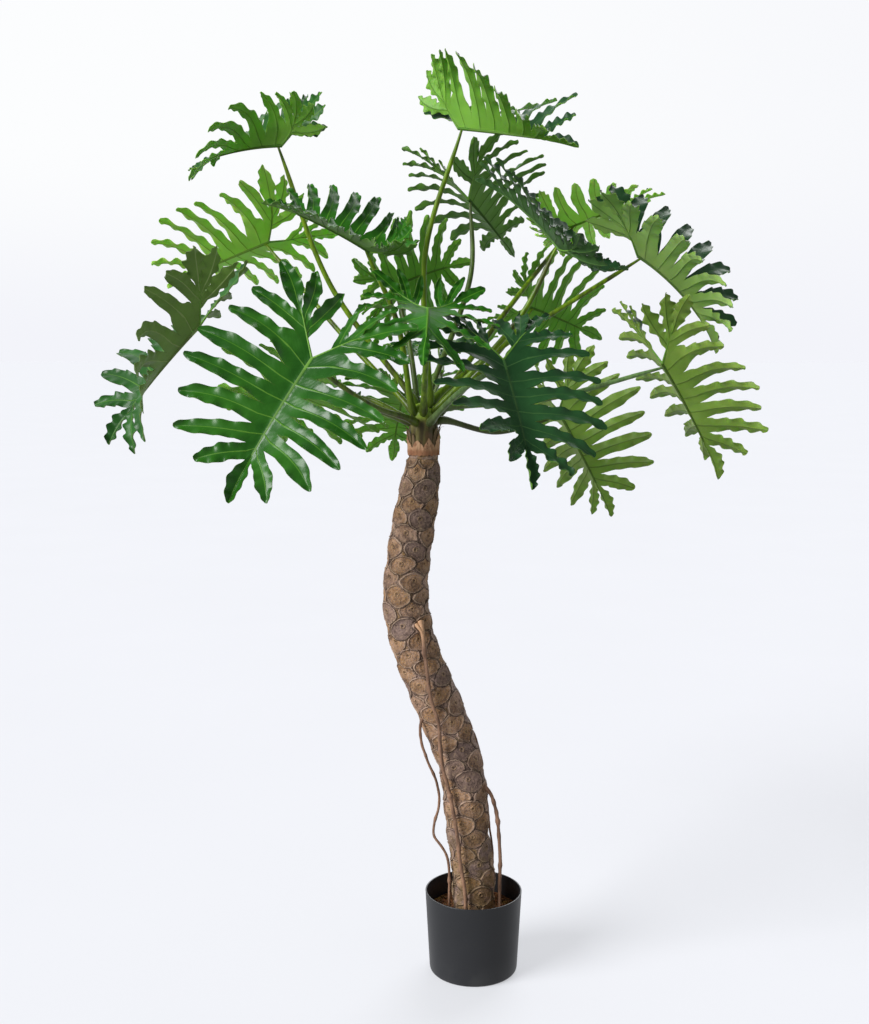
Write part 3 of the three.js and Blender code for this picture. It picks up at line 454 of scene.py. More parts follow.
def angle_from(turn, angle):
    """Angle from one bearing to another, the short way round."""
    return (turn - angle + math.pi) % FULL_TURN - math.pi


# Distance of each spot of bark from the middle of the scar that it belongs to, and which scar that is
turns = np.arange(BARK_COLUMNS) * FULL_TURN / BARK_COLUMNS
along_grid, turn_grid = np.meshgrid(row_along, turns, indexing="ij")
nearest = np.full(along_grid.shape, 9.0)
owner = np.zeros(along_grid.shape, int)
scar_x, scar_y = np.zeros(along_grid.shape), np.zeros(along_grid.shape)
wobble = np.array([
    [0.07 * rough((math.cos(t) * 1.6, math.sin(t) * 1.6, a / (14 * MM)), 1.0, 4)
     + 0.04 * rough((math.cos(t) * 5, math.sin(t) * 5, a / (5 * MM)), 1.0, 6) for t in turns]
    for a in row_along])
# Where scars overlap, the later one in a mixed order lies on top, with the whole of its edge
for k in bark_random.permutation(len(scars)):
    dx = angle_from(turn_grid, scars[k, 1]) * TRUNK_MEAN_RADIUS / scar_width[k]
    dy = (along_grid - scars[k, 0]) / scar_height[k] - scar_tilt[k] * dx
    share = np.sqrt(np.abs(dx) ** scar_power[k] + dy ** 2) + wobble
    better = (share < SCAR_REACH) | ((nearest > SCAR_REACH) & (share < nearest))
    nearest[better] = share[better]
    owner[better] = k
    scar_x[better], scar_y[better] = dx[better], dy[better]
eye_x = angle_from(turn_grid, scars[owner, 1]) * TRUNK_MEAN_RADIUS - eye_shift[owner]
eye_y = along_grid - scars[owner, 0] - eye_rise[owner]
eye = np.hypot(eye_x, eye_y)


def hump(value, centre, width):
    """Rounded hump of height one."""
    return np.exp(-((value - centre) / width) ** 2)


# Height of the bark in millimetres: dished scar, raised edge, groove, and creased bark between
bark = np.interp(nearest, BARK_PLACES, BARK_RISES)
bark += 0.8 * hump(nearest, 0.93, 0.04) - 0.9 * hump(nearest, 1.03, 0.04)
bark += 0.35 * np.sin(nearest * 22 + 3 * scar_tone[owner]) * hump(nearest, 0.6, 0.3)
bark += 0.9 * hump(eye, 3.3 * MM, 0.9 * MM) - 1.0 * hump(eye, 0, 1.6 * MM)
calm_levels = [SOIL_LEVEL - 6 * MM, SOIL_LEVEL, NECK_BOTTOM - 5 * MM, NECK_BOTTOM]
calm = np.interp(row_levels, calm_levels, [0, 1, 1, 0])
calm = calm[:, None]
bark = bark * calm - 0.8 * (1 - calm) * (row_levels < NECK_BOTTOM)[:, None]

bark_points, bark_zone, bark_spot = [], [], []
for i, level in enumerate(row_levels):
    in_neck = level >= NECK_BOTTOM
    out = np.array([1.0, 0.0, -lean[i]]) / math.hypot(1, lean[i])
    for j, turn in enumerate(turns):
        spot = (row_x[i] + row_radius[i] * math.cos(turn), row_radius[i] * math.sin(turn), level)
        ripple = 0.5 * rough(spot, 9 * MM) + 0.35 * rough(spot, 3.5 * MM, 5)
        wrinkle = rough((spot[0] * 0.6, spot[1] * 0.6, spot[2] * 2.4), 7 * MM, 9)
        loose = min(max((nearest[i, j] - 1.0) * 3, 0), 1)
        rise = bark[i, j] + ripple * (0.45 + 0.6 * loose) - 0.9 * loose * abs(wrinkle)
        radius = row_radius[i] + (0.5 * ripple if level > NECK_BOTTOM else rise) * MM
        spot = out * radius * math.cos(turn) + (row_x[i], radius * math.sin(turn), level)
        bark_points.append(tuple(spot))
        zone = PLAIN_BARK[0] if in_neck else nearest[i, j]
        bark_zone.append((zone, scar_tone[owner[i, j]], eye[i, j] / MM))
        bark_spot.append((scar_x[i, j], scar_y[i, j], 3.0 * owner[i, j]))
bark_points += [(0, 0, TRUNK_FOOT_LEVEL), (NECK_X, 0, CROWN_TOP_LEVEL)]
bark_faces = stem_faces(len(row_levels), BARK_COLUMNS)


def summed(tree, *parts, start=0.0):
    """Sum of values, each times its weight."""
    for value, weight in parts:
        start = add(tree, "Math", [value, weight, start], operation="MULTIPLY_ADD")
    return start


# The moulded bark is painted: purple-grey and brown scars with radial streaks, golden brown washed
# into some scars and the creases, painted shade in the grooves, creases, pits and lower parts of the
# scars, and pale dry-brushed paint on the raised edges as a painted highlight
bark_paint, tree, shader = finish("painted_bark", 0.72, 1.5, 0.3)
zone = add(tree, "Attribute", out="Vector", attribute_name="bark_zone")
spot = add(tree, "Attribute", out="Vector", attribute_name="bark_spot")
edge, tone, ring = add(tree, "SeparateXYZ", [zone], None)
# Streaks run out from the middle of each scar
ray = add(tree, "VectorMath", [spot, (1, 1, 0)], operation="MULTIPLY")
ray = add(tree, "VectorMath", [ray], operation="NORMALIZE")
ray = add(tree, "VectorMath", [ray, spot], operation="ADD")
streak = add(tree, "TexNoise", {"Vector": ray, "Scale": 7.0, "Detail": 4.0, "Roughness": 0.6})
blotch, fine, patchy = speckle(tree, 16 * MM, 4), speckle(tree, 1.6 * MM, 5), speckle(tree, 7 * MM)
crease = speckle(tree, 5 * MM, 4, (1, 1, 3.2))
mottle = speckle(tree, 6 * MM, 5, rough=0.65)
outside = (edge, 0.98, 1.08)
fold = summed(tree, (edge, 8.5), (patchy, 0.8), start=0.5)
fold = add(tree, "Math", [fold, 0.5], operation="PINGPONG")
groove = past(tree, (edge, 0.98, 1.01), (edge, 1.08, 1.03))
ring_line = past(tree, (ring, 2.0, 2.8), (ring, 4.8, 3.8))
coats = [
    # Some scars are purple-grey, and others have golden brown along their streaks
    (past(tree, (tone, 0.55, 0.85)), "#6e5b59", 0.55),
    (past(tree, (streak, 0.42, 0.58), (tone, 0.95, 0.4), (edge, 1.02, 0.75)), "#ad7b36", 0.78),
    # Golden paint lies in the creased bark between the scars, and dark streaks in it are painted shade
    (past(tree, outside, (patchy, 0.46, 0.62)), "#96733a", 0.7),
    (past(tree, outside, (crease, 0.5, 0.38)), "#3f3027", 0.45),
    # The lower part of each dished scar is darker as painted shade, and some of its streaks hold more
    # dark paint
    (past(tree, (add(tree, "SeparateXYZ", [spot], "Y"), 0.3, -0.9), (edge, 1.0, 0.9)), "#523f35", 0.5),
    (past(tree, (streak, 0.46, 0.34), (edge, 1.02, 0.9)), "#42342b", 0.6),
    # Fine creases follow the outlines of the scars as dark lines, and the groove round each scar is
    # darker: both are painted shade
    (past(tree, (fold, 0.16, 0.04), outside), "#3a2c23", 0.4),
    (groove, "#2c211a", 0.4),
    # Raised edges are dry-brushed pale in parts as a painted highlight, and the bundle ring is pale round
    # a pit darkened as painted shade
    (past(tree, (edge, 0.87, 0.92), (edge, 0.99, 0.95), (patchy, 0.36, 0.54)), "#bfa58a", 0.5),
    (ring_line, "#a98a60", 0.45),
    (past(tree, (ring, 2.1, 1.0)), "#2f2219", 0.8),
    # Mottling and grain, drawn a little coarser than the real paint so that they show
    (past(tree, (mottle, 0.5, 0.64)), "#47352c", 0.6),
    (past(tree, (mottle, 0.46, 0.34)), "#b89d7c", 0.35),
    (past(tree, (fine, 0.54, 0.7)), "#382b23", 0.7),
    (past(tree, (fine, 0.44, 0.3)), "#c3a486", 0.45),
    # Golden moss paint near the soil
    (past(tree, (level_in(tree), 340 * MM, 130 * MM), (patchy, 0.38, 0.56)), "#6f5a2a", 0.5),
]
colour = coat(tree, "#886f60", past(tree, (blotch, 0.38, 0.62)), "#b6998a")
for share, paint, strength in coats:
    colour = coat(tree, colour, share, paint, strength)
# Crisp scar edge and bundle ring over the broader forms of the mesh, and a fine grain
ridge = past(tree, (edge, 0.82, 0.94), (edge, 1.03, 0.97))
rise = summed(tree, (fine, 0.5), (streak, 0.3), (ridge, 0.6), (ring_line, 0.4), (groove, -0.25))
surface(tree, shader, colour, rise, 2.4 * MM)

# Living tissue at the crown: waxy olive sheaths with brown streaks, and a bright new sheath on top
crown_paint, tree, shader = finish("painted_crown", 0.34, 1.5)
streak = speckle(tree, 5 * MM, 4, (1, 1, 0.18))
colour = coat(tree, "#43391f", past(tree, (streak, 0.35, 0.65)), "#716a38")
colour = coat(tree, colour, past(tree, (speckle(tree, 11 * MM), 0.5, 0.65)), "#6b4f34", 0.75)
colour = coat(tree, colour, past(tree, (level_in(tree), 940 * MM, 958 * MM)), "#8fae34")
surface(tree, shader, colour, streak, 0.8 * MM)
bark_rings = int((row_levels < CROWN_START_LEVEL).sum())
kinds = [int(k // BARK_COLUMNS >= bark_rings) for k in range(len(bark_faces) - 2 * BARK_COLUMNS)]
trunk_bark = piece("trunk_bark", bark_points, bark_faces, [bark_paint, crown_paint], "trunk", "trunk",
                   kinds + [0, 1] * BARK_COLUMNS, 80)
for name, rows in (("bark_zone", bark_zone), ("bark_spot", bark_spot)):
    held = trunk_bark.data.attributes.new(name, "FLOAT_VECTOR", "POINT")
    held.data.foreach_set("vector", np.array(rows + [PLAIN_BARK] * 2, np.float32).ravel())

# Sheath collar
# The dry ends of cut leaf sheaths round the neck: a papery tan band with torn, curling tips, moulded
# in one with the band and painted tan over reddish brown.
COLLAR_BOTTOM = 886 * MM
COLLAR_BAND = 14 * MM
COLLAR_TIP_RISE = 26 * MM
COLLAR_FLARE = 7 * MM
COLLAR_GAP = 0.5 * MM
COLLAR_WALL = 1.6 * MM
COLLAR_CORNERS = 16
COLLAR_COLUMNS = 20
COLLAR_ROWS = 14
# Every other corner of the torn edge is a tip
draw = repeatable(7)
collar_levels, tip_levels, tip_flares = [], [], []
for k in range(COLLAR_CORNERS):
    collar_levels.append(COLLAR_BOTTOM + COLLAR_BAND + 4 * MM * draw())
    tip_levels.append(COLLAR_BOTTOM + COLLAR_BAND + COLLAR_TIP_RISE * (0.7 + 0.3 * draw()))
    tip_flares.append(COLLAR_FLARE * draw() if k % 2 else 0)
collar_random = np.random.default_rng(37)
tip_leans = collar_random.uniform(-0.22, 0.22, COLLAR_CORNERS)
tip_shares = collar_random.uniform(0.65, 1.35, COLLAR_CORNERS)


def collar_point(turn_share, rise_share, face):
    """Point of the collar at a share of a turn and of the height to the torn edge, and a way out."""
    place = turn_share * COLLAR_CORNERS
    k, part = int(place) % COLLAR_CORNERS, place - int(place)
    n = (k + 1) % COLLAR_CORNERS
    tip, to_tip = (n, part) if n % 2 else (k, 1 - part)
    base = collar_levels[k] * (1 - part) + collar_levels[n] * part
    ragged = 2.6 * MM * rough((turn_share * 40, 0, 3.1), 1.0) * (1 - 0.5 * to_tip)
    top = base + (tip_levels[tip] - base) * tip_shares[tip] * to_tip ** 1.05 + ragged
    bottom = COLLAR_BOTTOM + 2.4 * MM * (1 + rough((turn_share * 40, 0, 7.7), 1.0))
    level = bottom + (top - bottom) * rise_share
    above = max(level - base, 0) / COLLAR_TIP_RISE
    flare = (0.8 * MM + tip_flares[tip] * to_tip) * above ** 1.5 + 0.6 * MM * rise_share
    turn = turn_share * FULL_TURN + tip_leans[tip] * above ** 1.3
    crinkle = 1.2 * MM * rough((math.cos(turn), math.sin(turn), level / (60 * MM)), 0.16, 2)
    radius = NECK_RADIUS + COLLAR_GAP + flare + crinkle + face
    return (NECK_X + radius * math.cos(turn), radius * math.sin(turn), level)


columns = COLLAR_CORNERS * COLLAR_COLUMNS
collar_points = [
    collar_point(column / columns, row / COLLAR_ROWS, face)
    for face in (COLLAR_WALL, 0.5 * MM) for row in range(COLLAR_ROWS + 1) for column in range(columns)]
skin, top = (COLLAR_ROWS + 1) * columns, COLLAR_ROWS * columns
collar_faces = ring_faces(COLLAR_ROWS + 1, columns)
collar_faces += [[skin + corner for corner in face[::-1]] for face in collar_faces]
for c in range(columns):
    n = (c + 1) % columns
    collar_faces += [[c, skin + c, skin + n, n], [top + c, top + n, skin + top + n, skin + top + c]]

# Torn strips of older sheath stand between the band and the leaf stalks, and curl outwards. Each has
# its bearing in degrees, and its top level, width and curl in millimetres.
SHEATH_STRIPS = [
    (-8, 934, 9, 9), (30, 928, 7, 9), (68, 932, 8, 5), (132, 928, 9, 8), (176, 936, 9, 11),
    (206, 931, 8, 9), (228, 924, 6, 6), (318, 934, 8, 10), (340, 940, 7, 12),
]
STRIP_ROOT_LEVEL = 902 * MM
STRIP_THICKNESS = 0.7 * MM
STRIP_ROWS = 12
STRIP_COLUMNS = 5


def curled_strip(bearing, top, width, curl):
    """Closed thin strip that rises along the neck, narrows, and curls away from it at its tip."""
    points, faces = [], []
    for lift in (0.0, STRIP_THICKNESS):
        for share in np.linspace(0, 1, STRIP_ROWS):
            half = width / 2 * MM * (1 - share ** 1.6) + 0.3 * MM
            out = NECK_RADIUS + 0.4 * MM + curl * MM * share ** 2.4 + lift
            level = STRIP_ROOT_LEVEL + (top * MM - STRIP_ROOT_LEVEL) * math.sin(share * 1.75)
            for side in np.linspace(-1, 1, STRIP_COLUMNS):
                turn = math.radians(bearing) + (side * half + 1.5 * MM * share * side ** 2) / NECK_RADIUS
                points.append((NECK_X + out * math.cos(turn), out * math.sin(turn), level))
    grid = np.arange(STRIP_ROWS * STRIP_COLUMNS).reshape(STRIP_ROWS, STRIP_COLUMNS)
    skin = grid.size
    for a in grid[:-1, :-1].ravel().tolist():
        face = [a, a + STRIP_COLUMNS, a + STRIP_COLUMNS + 1, a + 1]
        faces += [face, [skin + corner for corner in face[::-1]]]
    rim = [*grid[0], *grid[1:, -1], *grid[-1, -2::-1], *grid[-2:0:-1, 0]]
    faces += [[int(a), int(b), int(skin + b), int(skin + a)] for a, b in zip(rim, rim[1:] + rim[:1])]
    return points, faces


sheath_parts = [(collar_points, collar_faces)] + [curled_strip(*strip) for strip in SHEATH_STRIPS]
points, faces, numbers = join(sheath_parts)

# Dry sheath: papery and matt, with long fibres, reddish blotches, dark flecks and browner tips
dry_sheath, tree, shader = finish("painted_dry_sheath", 0.85, 1.45)
level, fibre = level_in(tree), speckle(tree, 3 * MM, 4, (1, 1, 0.12))
colour = coat(tree, "#a87e5e", past(tree, (fibre, 0.3, 0.7)), "#caa17e")
colour = coat(tree, colour, past(tree, (level, 902 * MM, 893 * MM)), "#8f5c3e", 0.75)
colour = coat(tree, colour, past(tree, (speckle(tree, 5 * MM, 4), 0.5, 0.64)), "#86563c", 0.6)
colour = coat(tree, colour, past(tree, (speckle(tree, 2.4 * MM), 0.62, 0.7)), "#4e3526", 0.8)
colour = coat(tree, colour, past(tree, (level, 907 * MM, 926 * MM)), "#6e4a34", 0.55)
surface(tree, shader, colour, fibre, 0.6 * MM)
# The torn strips are darker and weathered
torn_sheath, tree, shader = finish("painted_torn_sheath", 0.75, 1.45)
surface(tree, shader, coat(tree, "#3f3022", speckle(tree, 3 * MM, 4, (1, 1, 0.12)), "#8a7350"))
piece("sheath_band", points, faces, [dry_sheath, torn_sheath], "sheath", "sheath_collar",
      [min(number, 1) for number in numbers], 80)

# Aerial roots
# Long wiry roots that leave the bark at old scars and hang beside the trunk down into the soil.
# They are wire covered in painted brown tape, so they have small knots, kinks and pale scuffs.
# Places along each root, from the bark to the soil, and its radius there, in millimetres
ROOTS = [
    [(-90, -34, 616, 3.4), (-86, -43, 596, 3.4), (-80, -47, 540, 3.2), (-72, -48, 486, 3.2),
     (-61, -48, 450, 3.1), (-57, -46, 402, 3.1), (-52, -42, 364, 3.1), (-44, -39, 333, 3.1),
     (-35, -42, 290, 3.1), (-28, -44, 245, 3.2), (-24, -43, 205, 3.2), (-17, -43, 165, 3.2),
     (-14, -43, 125, 3.2), (-14, -43, 82, 3.2)],
    [(-84, -18, 452, 2.2), (-90, -24, 440, 2.2), (-89, -26, 410, 2.2), (-78, -24, 374, 2.2),
     (-66, -20, 345, 2.2), (-60, -16, 318, 2.2), (-60, -12, 290, 2.2), (-67, -10, 263, 2.2),
     (-68, -10, 240, 2.2), (-55, -12, 221, 2.2), (-46, -14, 205, 2.3), (-42, -16, 175, 2.3),
     (-42, -16, 125, 2.3), (-42, -16, 82, 2.3)],
    [(16, -12, 328, 3), (27, -14, 316, 3), (36, -14, 290, 2.9), (41, -13, 258, 2.9),
     (43, -12, 230, 2.9), (45, -11, 196, 3), (44, -11, 160, 3), (44, -11, 125, 3), (44, -11, 82, 3)],
    [(-14, 22, 424, 1.9), (-2, 28, 410, 1.9), (8, 30, 385, 1.8), (17, 31, 330, 1.8),
     (24, 31, 280, 1.8), (28, 30, 240, 1.8), (33, 27, 205, 1.8), (34, 26, 165, 1.8),
     (34, 26, 125, 1.8), (34, 26, 82, 1.8)],
]
# The second end of the first root, where it forks at the bark, in millimetres
ROOT_FORK = [(-97, -36, 611), (-93, -41, 607), (-88, -44, 600), (-86, -44.5, 592)]
# Painted tape: dull, with streaks along the root, pale scuffs, and a paler top end at the bark
root_tape, tree, shader = finish("painted_root_tape", 0.7, 1.5)
colour = coat(tree, "#684c3a", past(tree, (speckle(tree, 4 * MM, 4, (1, 1, 0.25)), 0.35, 0.65)), "#957159")
colour = coat(tree, colour, past(tree, (speckle(tree, 2.4 * MM), 0.62, 0.74)), "#b3947a", 0.5)
colour = coat(tree, colour, past(tree, (level_in(tree), 570 * MM, 605 * MM)), "#c39873", 0.8)
surface(tree, shader, colour, speckle(tree, 1.6 * MM), 0.5 * MM)
root_random = np.random.default_rng(31)
for number, root in enumerate(ROOTS, 1):
    root = np.array(root) * MM
    knots, widths = root[:, :3], root[:, 3]
    count = int(distances(knots)[-1] / (2.2 * MM))
    path, places = curve_through(knots, count)
    radii = np.interp(places, range(len(widths)), widths)
    radii *= [1 + 0.13 * rough(p, 12 * MM, number) + 0.08 * rough(p, 3 * MM, number) for p in path]
    for knot in root_random.uniform(0.05, 0.8, 6):
        radii *= 1 + 0.28 * hump(np.arange(count), knot * count, 2.2)
    # The root is thicker where it leaves the bark
    radii *= 1 + 0.7 * np.exp(-np.arange(count) / 4)
    for axis, seed in ((0, 1), (1, 2)):
        path[:, axis] += [0.5 * MM * rough(p, 16 * MM, seed + number) for p in path]
    parts = [tube(path, radii, 14)]
    if number == 1:
        path, places = curve_through(np.array(ROOT_FORK) * MM, 14)
        parts.append(tube(path, np.linspace(3.6, 1.6, 14) * MM, 12))
    points, faces, kinds = join(parts)
    piece(f"root_{number}_tape", points, faces, [root_tape], "root", f"aerial_root_{number}", None, 80)

# Leaves
# Each leaf is a moulded, glossy green blade on a wired stalk that is pushed into the crown. The blade
# is cut deeply into strap-shaped lobes with rippled edges, on a midrib and two ribs that run back past
# the stalk, and its veins stand out as pale lines. The underside is lighter and duller.
BLADE_HALF_THICKNESS = 0.5 * MM
MIDRIB_HALF_WIDTH = 2.4 * MM
MIDRIB_KEEL = 2.6 * MM
STALK_RADII = [3, 5.2, 4.4, 3.5]
STALK_PIN_DEPTH = 9 * MM
STALK_RINGS = 60
SIDE_VEIN_STEP = 9 * MM
REAR_RIB_RINGS = 26
# Shares of the blade's length, and for the tips of lobes also their angle from the midrib
LATERAL_TIPS = [(0.95, 18), (0.91, 34), (0.84, 48), (0.78, 62), (0.72, 76), (0.63, 92)]
MIDRIB_NODES = [0, 0.13, 0.26, 0.38, 0.5, 0.61, 0.7]
# A young leaf has half as many side lobes
YOUNG_LATERAL_TIPS = [(0.93, 26), (0.8, 50), (0.66, 80)]
YOUNG_MIDRIB_NODES = [0, 0.22, 0.44, 0.66]
YOUNG_LEAVES = [10]
DARK_LEAVES = [11, 15]
REAR_TIPS = [(0.64, 109), (0.69, 131), (0.57, 156)]
REAR_RIB_ANGLE = 136
REAR_RIB_NODES = [0.13, 0.2, 0.27]
REAR_RIB_END = 0.42
REAR_REACH = 0.6
NOTCH_REACH = 0.17
LOBE_HALF_WIDTH = 0.059
LOBE_RIPPLE = 0.022
LOBE_SAG = 0.6
LOBE_FLUTTER = 0.013
LOBE_VALLEY = 0.0175
WEB_HOLLOW = 0.006
# Outline of a lobe's free strap: places along it, and its half width there
STRAP_PLACES = [0, 0.2, 0.42, 0.6, 0.74, 0.86, 0.94, 1]
STRAP_WIDTHS = [0.8, 0.87, 1, 0.97, 0.82, 0.6, 0.44, 0.36]
ACROSS = np.array([-1, -0.85, -0.65, -0.4, -0.16, -0.05, 0, 0.05, 0.16, 0.4, 0.65, 0.85, 1])
WEB_ROWS = 4
LOBE_ROWS = 26
# Numbers of the finishes on a leaf
UPPER_FACE, UNDERSIDE, RIB, STALK = range(4)

# Leaf table, in millimetres and degrees: crown ring and bearing of the stalk, its way point and end,
# the blade's tip, the way its upper face looks, fold at the stalk and the tip, twist, droop, bend of
# the two lobes behind the stalk, and the finishes of the upper face, the underside and the stalk
LEAVES = [
    (2, 160, (-240, 55, 1166), (-318, 65, 1392), (-484, 125, 1366), (-0.5, 0.02, 0.9), (80, -30),
     20, 20, 30, "deep", "lime", "olive"),
    (2, 310, (-82, -10, 1210), (-30, -35, 1402), (144, -135, 1362), (-0.3, 0.5, 0.8), (60, 40),
     -55, 4, 55, "dark", "lime", "olive"),
    (2, 70, (-4, 140, 1190), (-8, 158, 1317), (80, 340, 1238), (0.05, 0.4, 0.9), (53, 48),
     26, 6, 24, "deep", "shade", "dusky"),
    (1, 145, (-225, 110, 1085), (-360, 198, 1248), (-555, 285, 1178), (-0.1, 0.5, 0.85), (14, 20),
     7, 4, 80, "deep", "bright", "olive"),
    (0, 192, (-250, -45, 995), (-436, -62, 1096), (-590, -50, 913), (-0.9, 0.22, 0.4), (30, 15),
     72, 10, 20, "deep", "dusky", "olive"),
    (0, 238, (-165, -140, 975), (-243, -243, 1045), (-358, -300, 848), (-0.2, -0.9, 0.38), (18, 26),
     0, 14, -8, "fresh", "shade", "olive"),
    (0, 158, (-170, 30, 975), (-262, 92, 985), (-412, 240, 905), (0.05, 0.7, 0.7), (12, 12),
     0, 26, -15.6, "deep", "lime", "olive"),
    # Leaf 8 takes the lighter young upper face as painted light, for sun on its lobes
    (1, 225, (-125, -55, 1098), (-166, -97, 1207), (-326, -105, 1282), (0.3, -0.36, 0.9), (40, 30),
     0, 14, 104, "young", "shade", "olive"),
    (1, 110, (-110, 90, 1070), (-140, 130, 1165), (0, 200, 1215), (-0.1, 0.85, 0.5), (14, 14),
     0, 26, -15.6, "deep", "lime", "dusky"),
    (1, 270, (-80, -110, 1050), (-77, -160, 1119), (-82, -300, 1040), (0.1, -0.75, 0.6), (0, -45),
     0, 50, 95, "young", "shade", "olive"),
    (0, 295, (-20, -120, 1000), (36, -164, 1043), (74, -285, 866), (0.33, -0.78, 0.53), (16, 32),
     20, 10, -30, "dark", "shade", "pale"),
    (0, 20, (40, 80, 920), (152, 158, 952), (243, 121, 774), (0.63, 0.75, 0.16), (43, 33),
     0, 4, 27, "deep", "moss", "dusky"),
    (1, 0, (120, 55, 977), (316, 66, 1036), (425, 103, 843), (0.77, 0.4, 0.5), (25, 41),
     4, 9, 17, "deep", "moss", "pale"),
    (2, 20, (42, 30, 1062), (268, 50, 1213), (403, 43, 1058), (0.7, -0.3, 0.62), (62, 58),
     0, 32, -9, "dark", "pale", "olive"),
    (1, 325, (68, -60, 1110), (128, -66, 1213), (5, 35, 1335), (0.62, -0.22, 0.6), (25, 20),
     -8, 20, 70, "dark", "night", "olive"),
    (1, 45, (60, 120, 1130), (183, 297, 1284), (348, 276, 1343), (-0.2, 0.52, 0.83), (13, 4),
     -28, 4, 84, "deep", "bright", "olive"),
    (0, 50, (45, 160, 1055), (106, 240, 1136), (245, 332, 1082), (0, 0.95, 0.3), (12, 12),
     0, 24, -14.4, "deep", "lime", "olive"),
    (1, 80, (-55, 140, 1020), (-60, 270, 1065), (-40, 420, 1055), (0, 0.6, 0.8), (12, 12),
     0, 24, -14.4, "deep", "lime", "olive"),
    (0, 110, (-115, 90, 965), (-122, 200, 980), (-148, 330, 855), (-0.1, 0.7, 0.7), (12, 12),
     0, 24, -14.4, "deep", "lime", "dusky"),
]


def polar(distance, degrees):
    """Place on the flat blade at a distance from the stalk and an angle from the midrib."""
    angle = math.radians(degrees)
    return np.array([math.sin(angle), math.cos(angle)]) * distance


def smooth(share):
    """Smooth step from 0 to 1."""
    share = np.clip(share, 0, 1)
    return share * share * (3 - 2 * share)


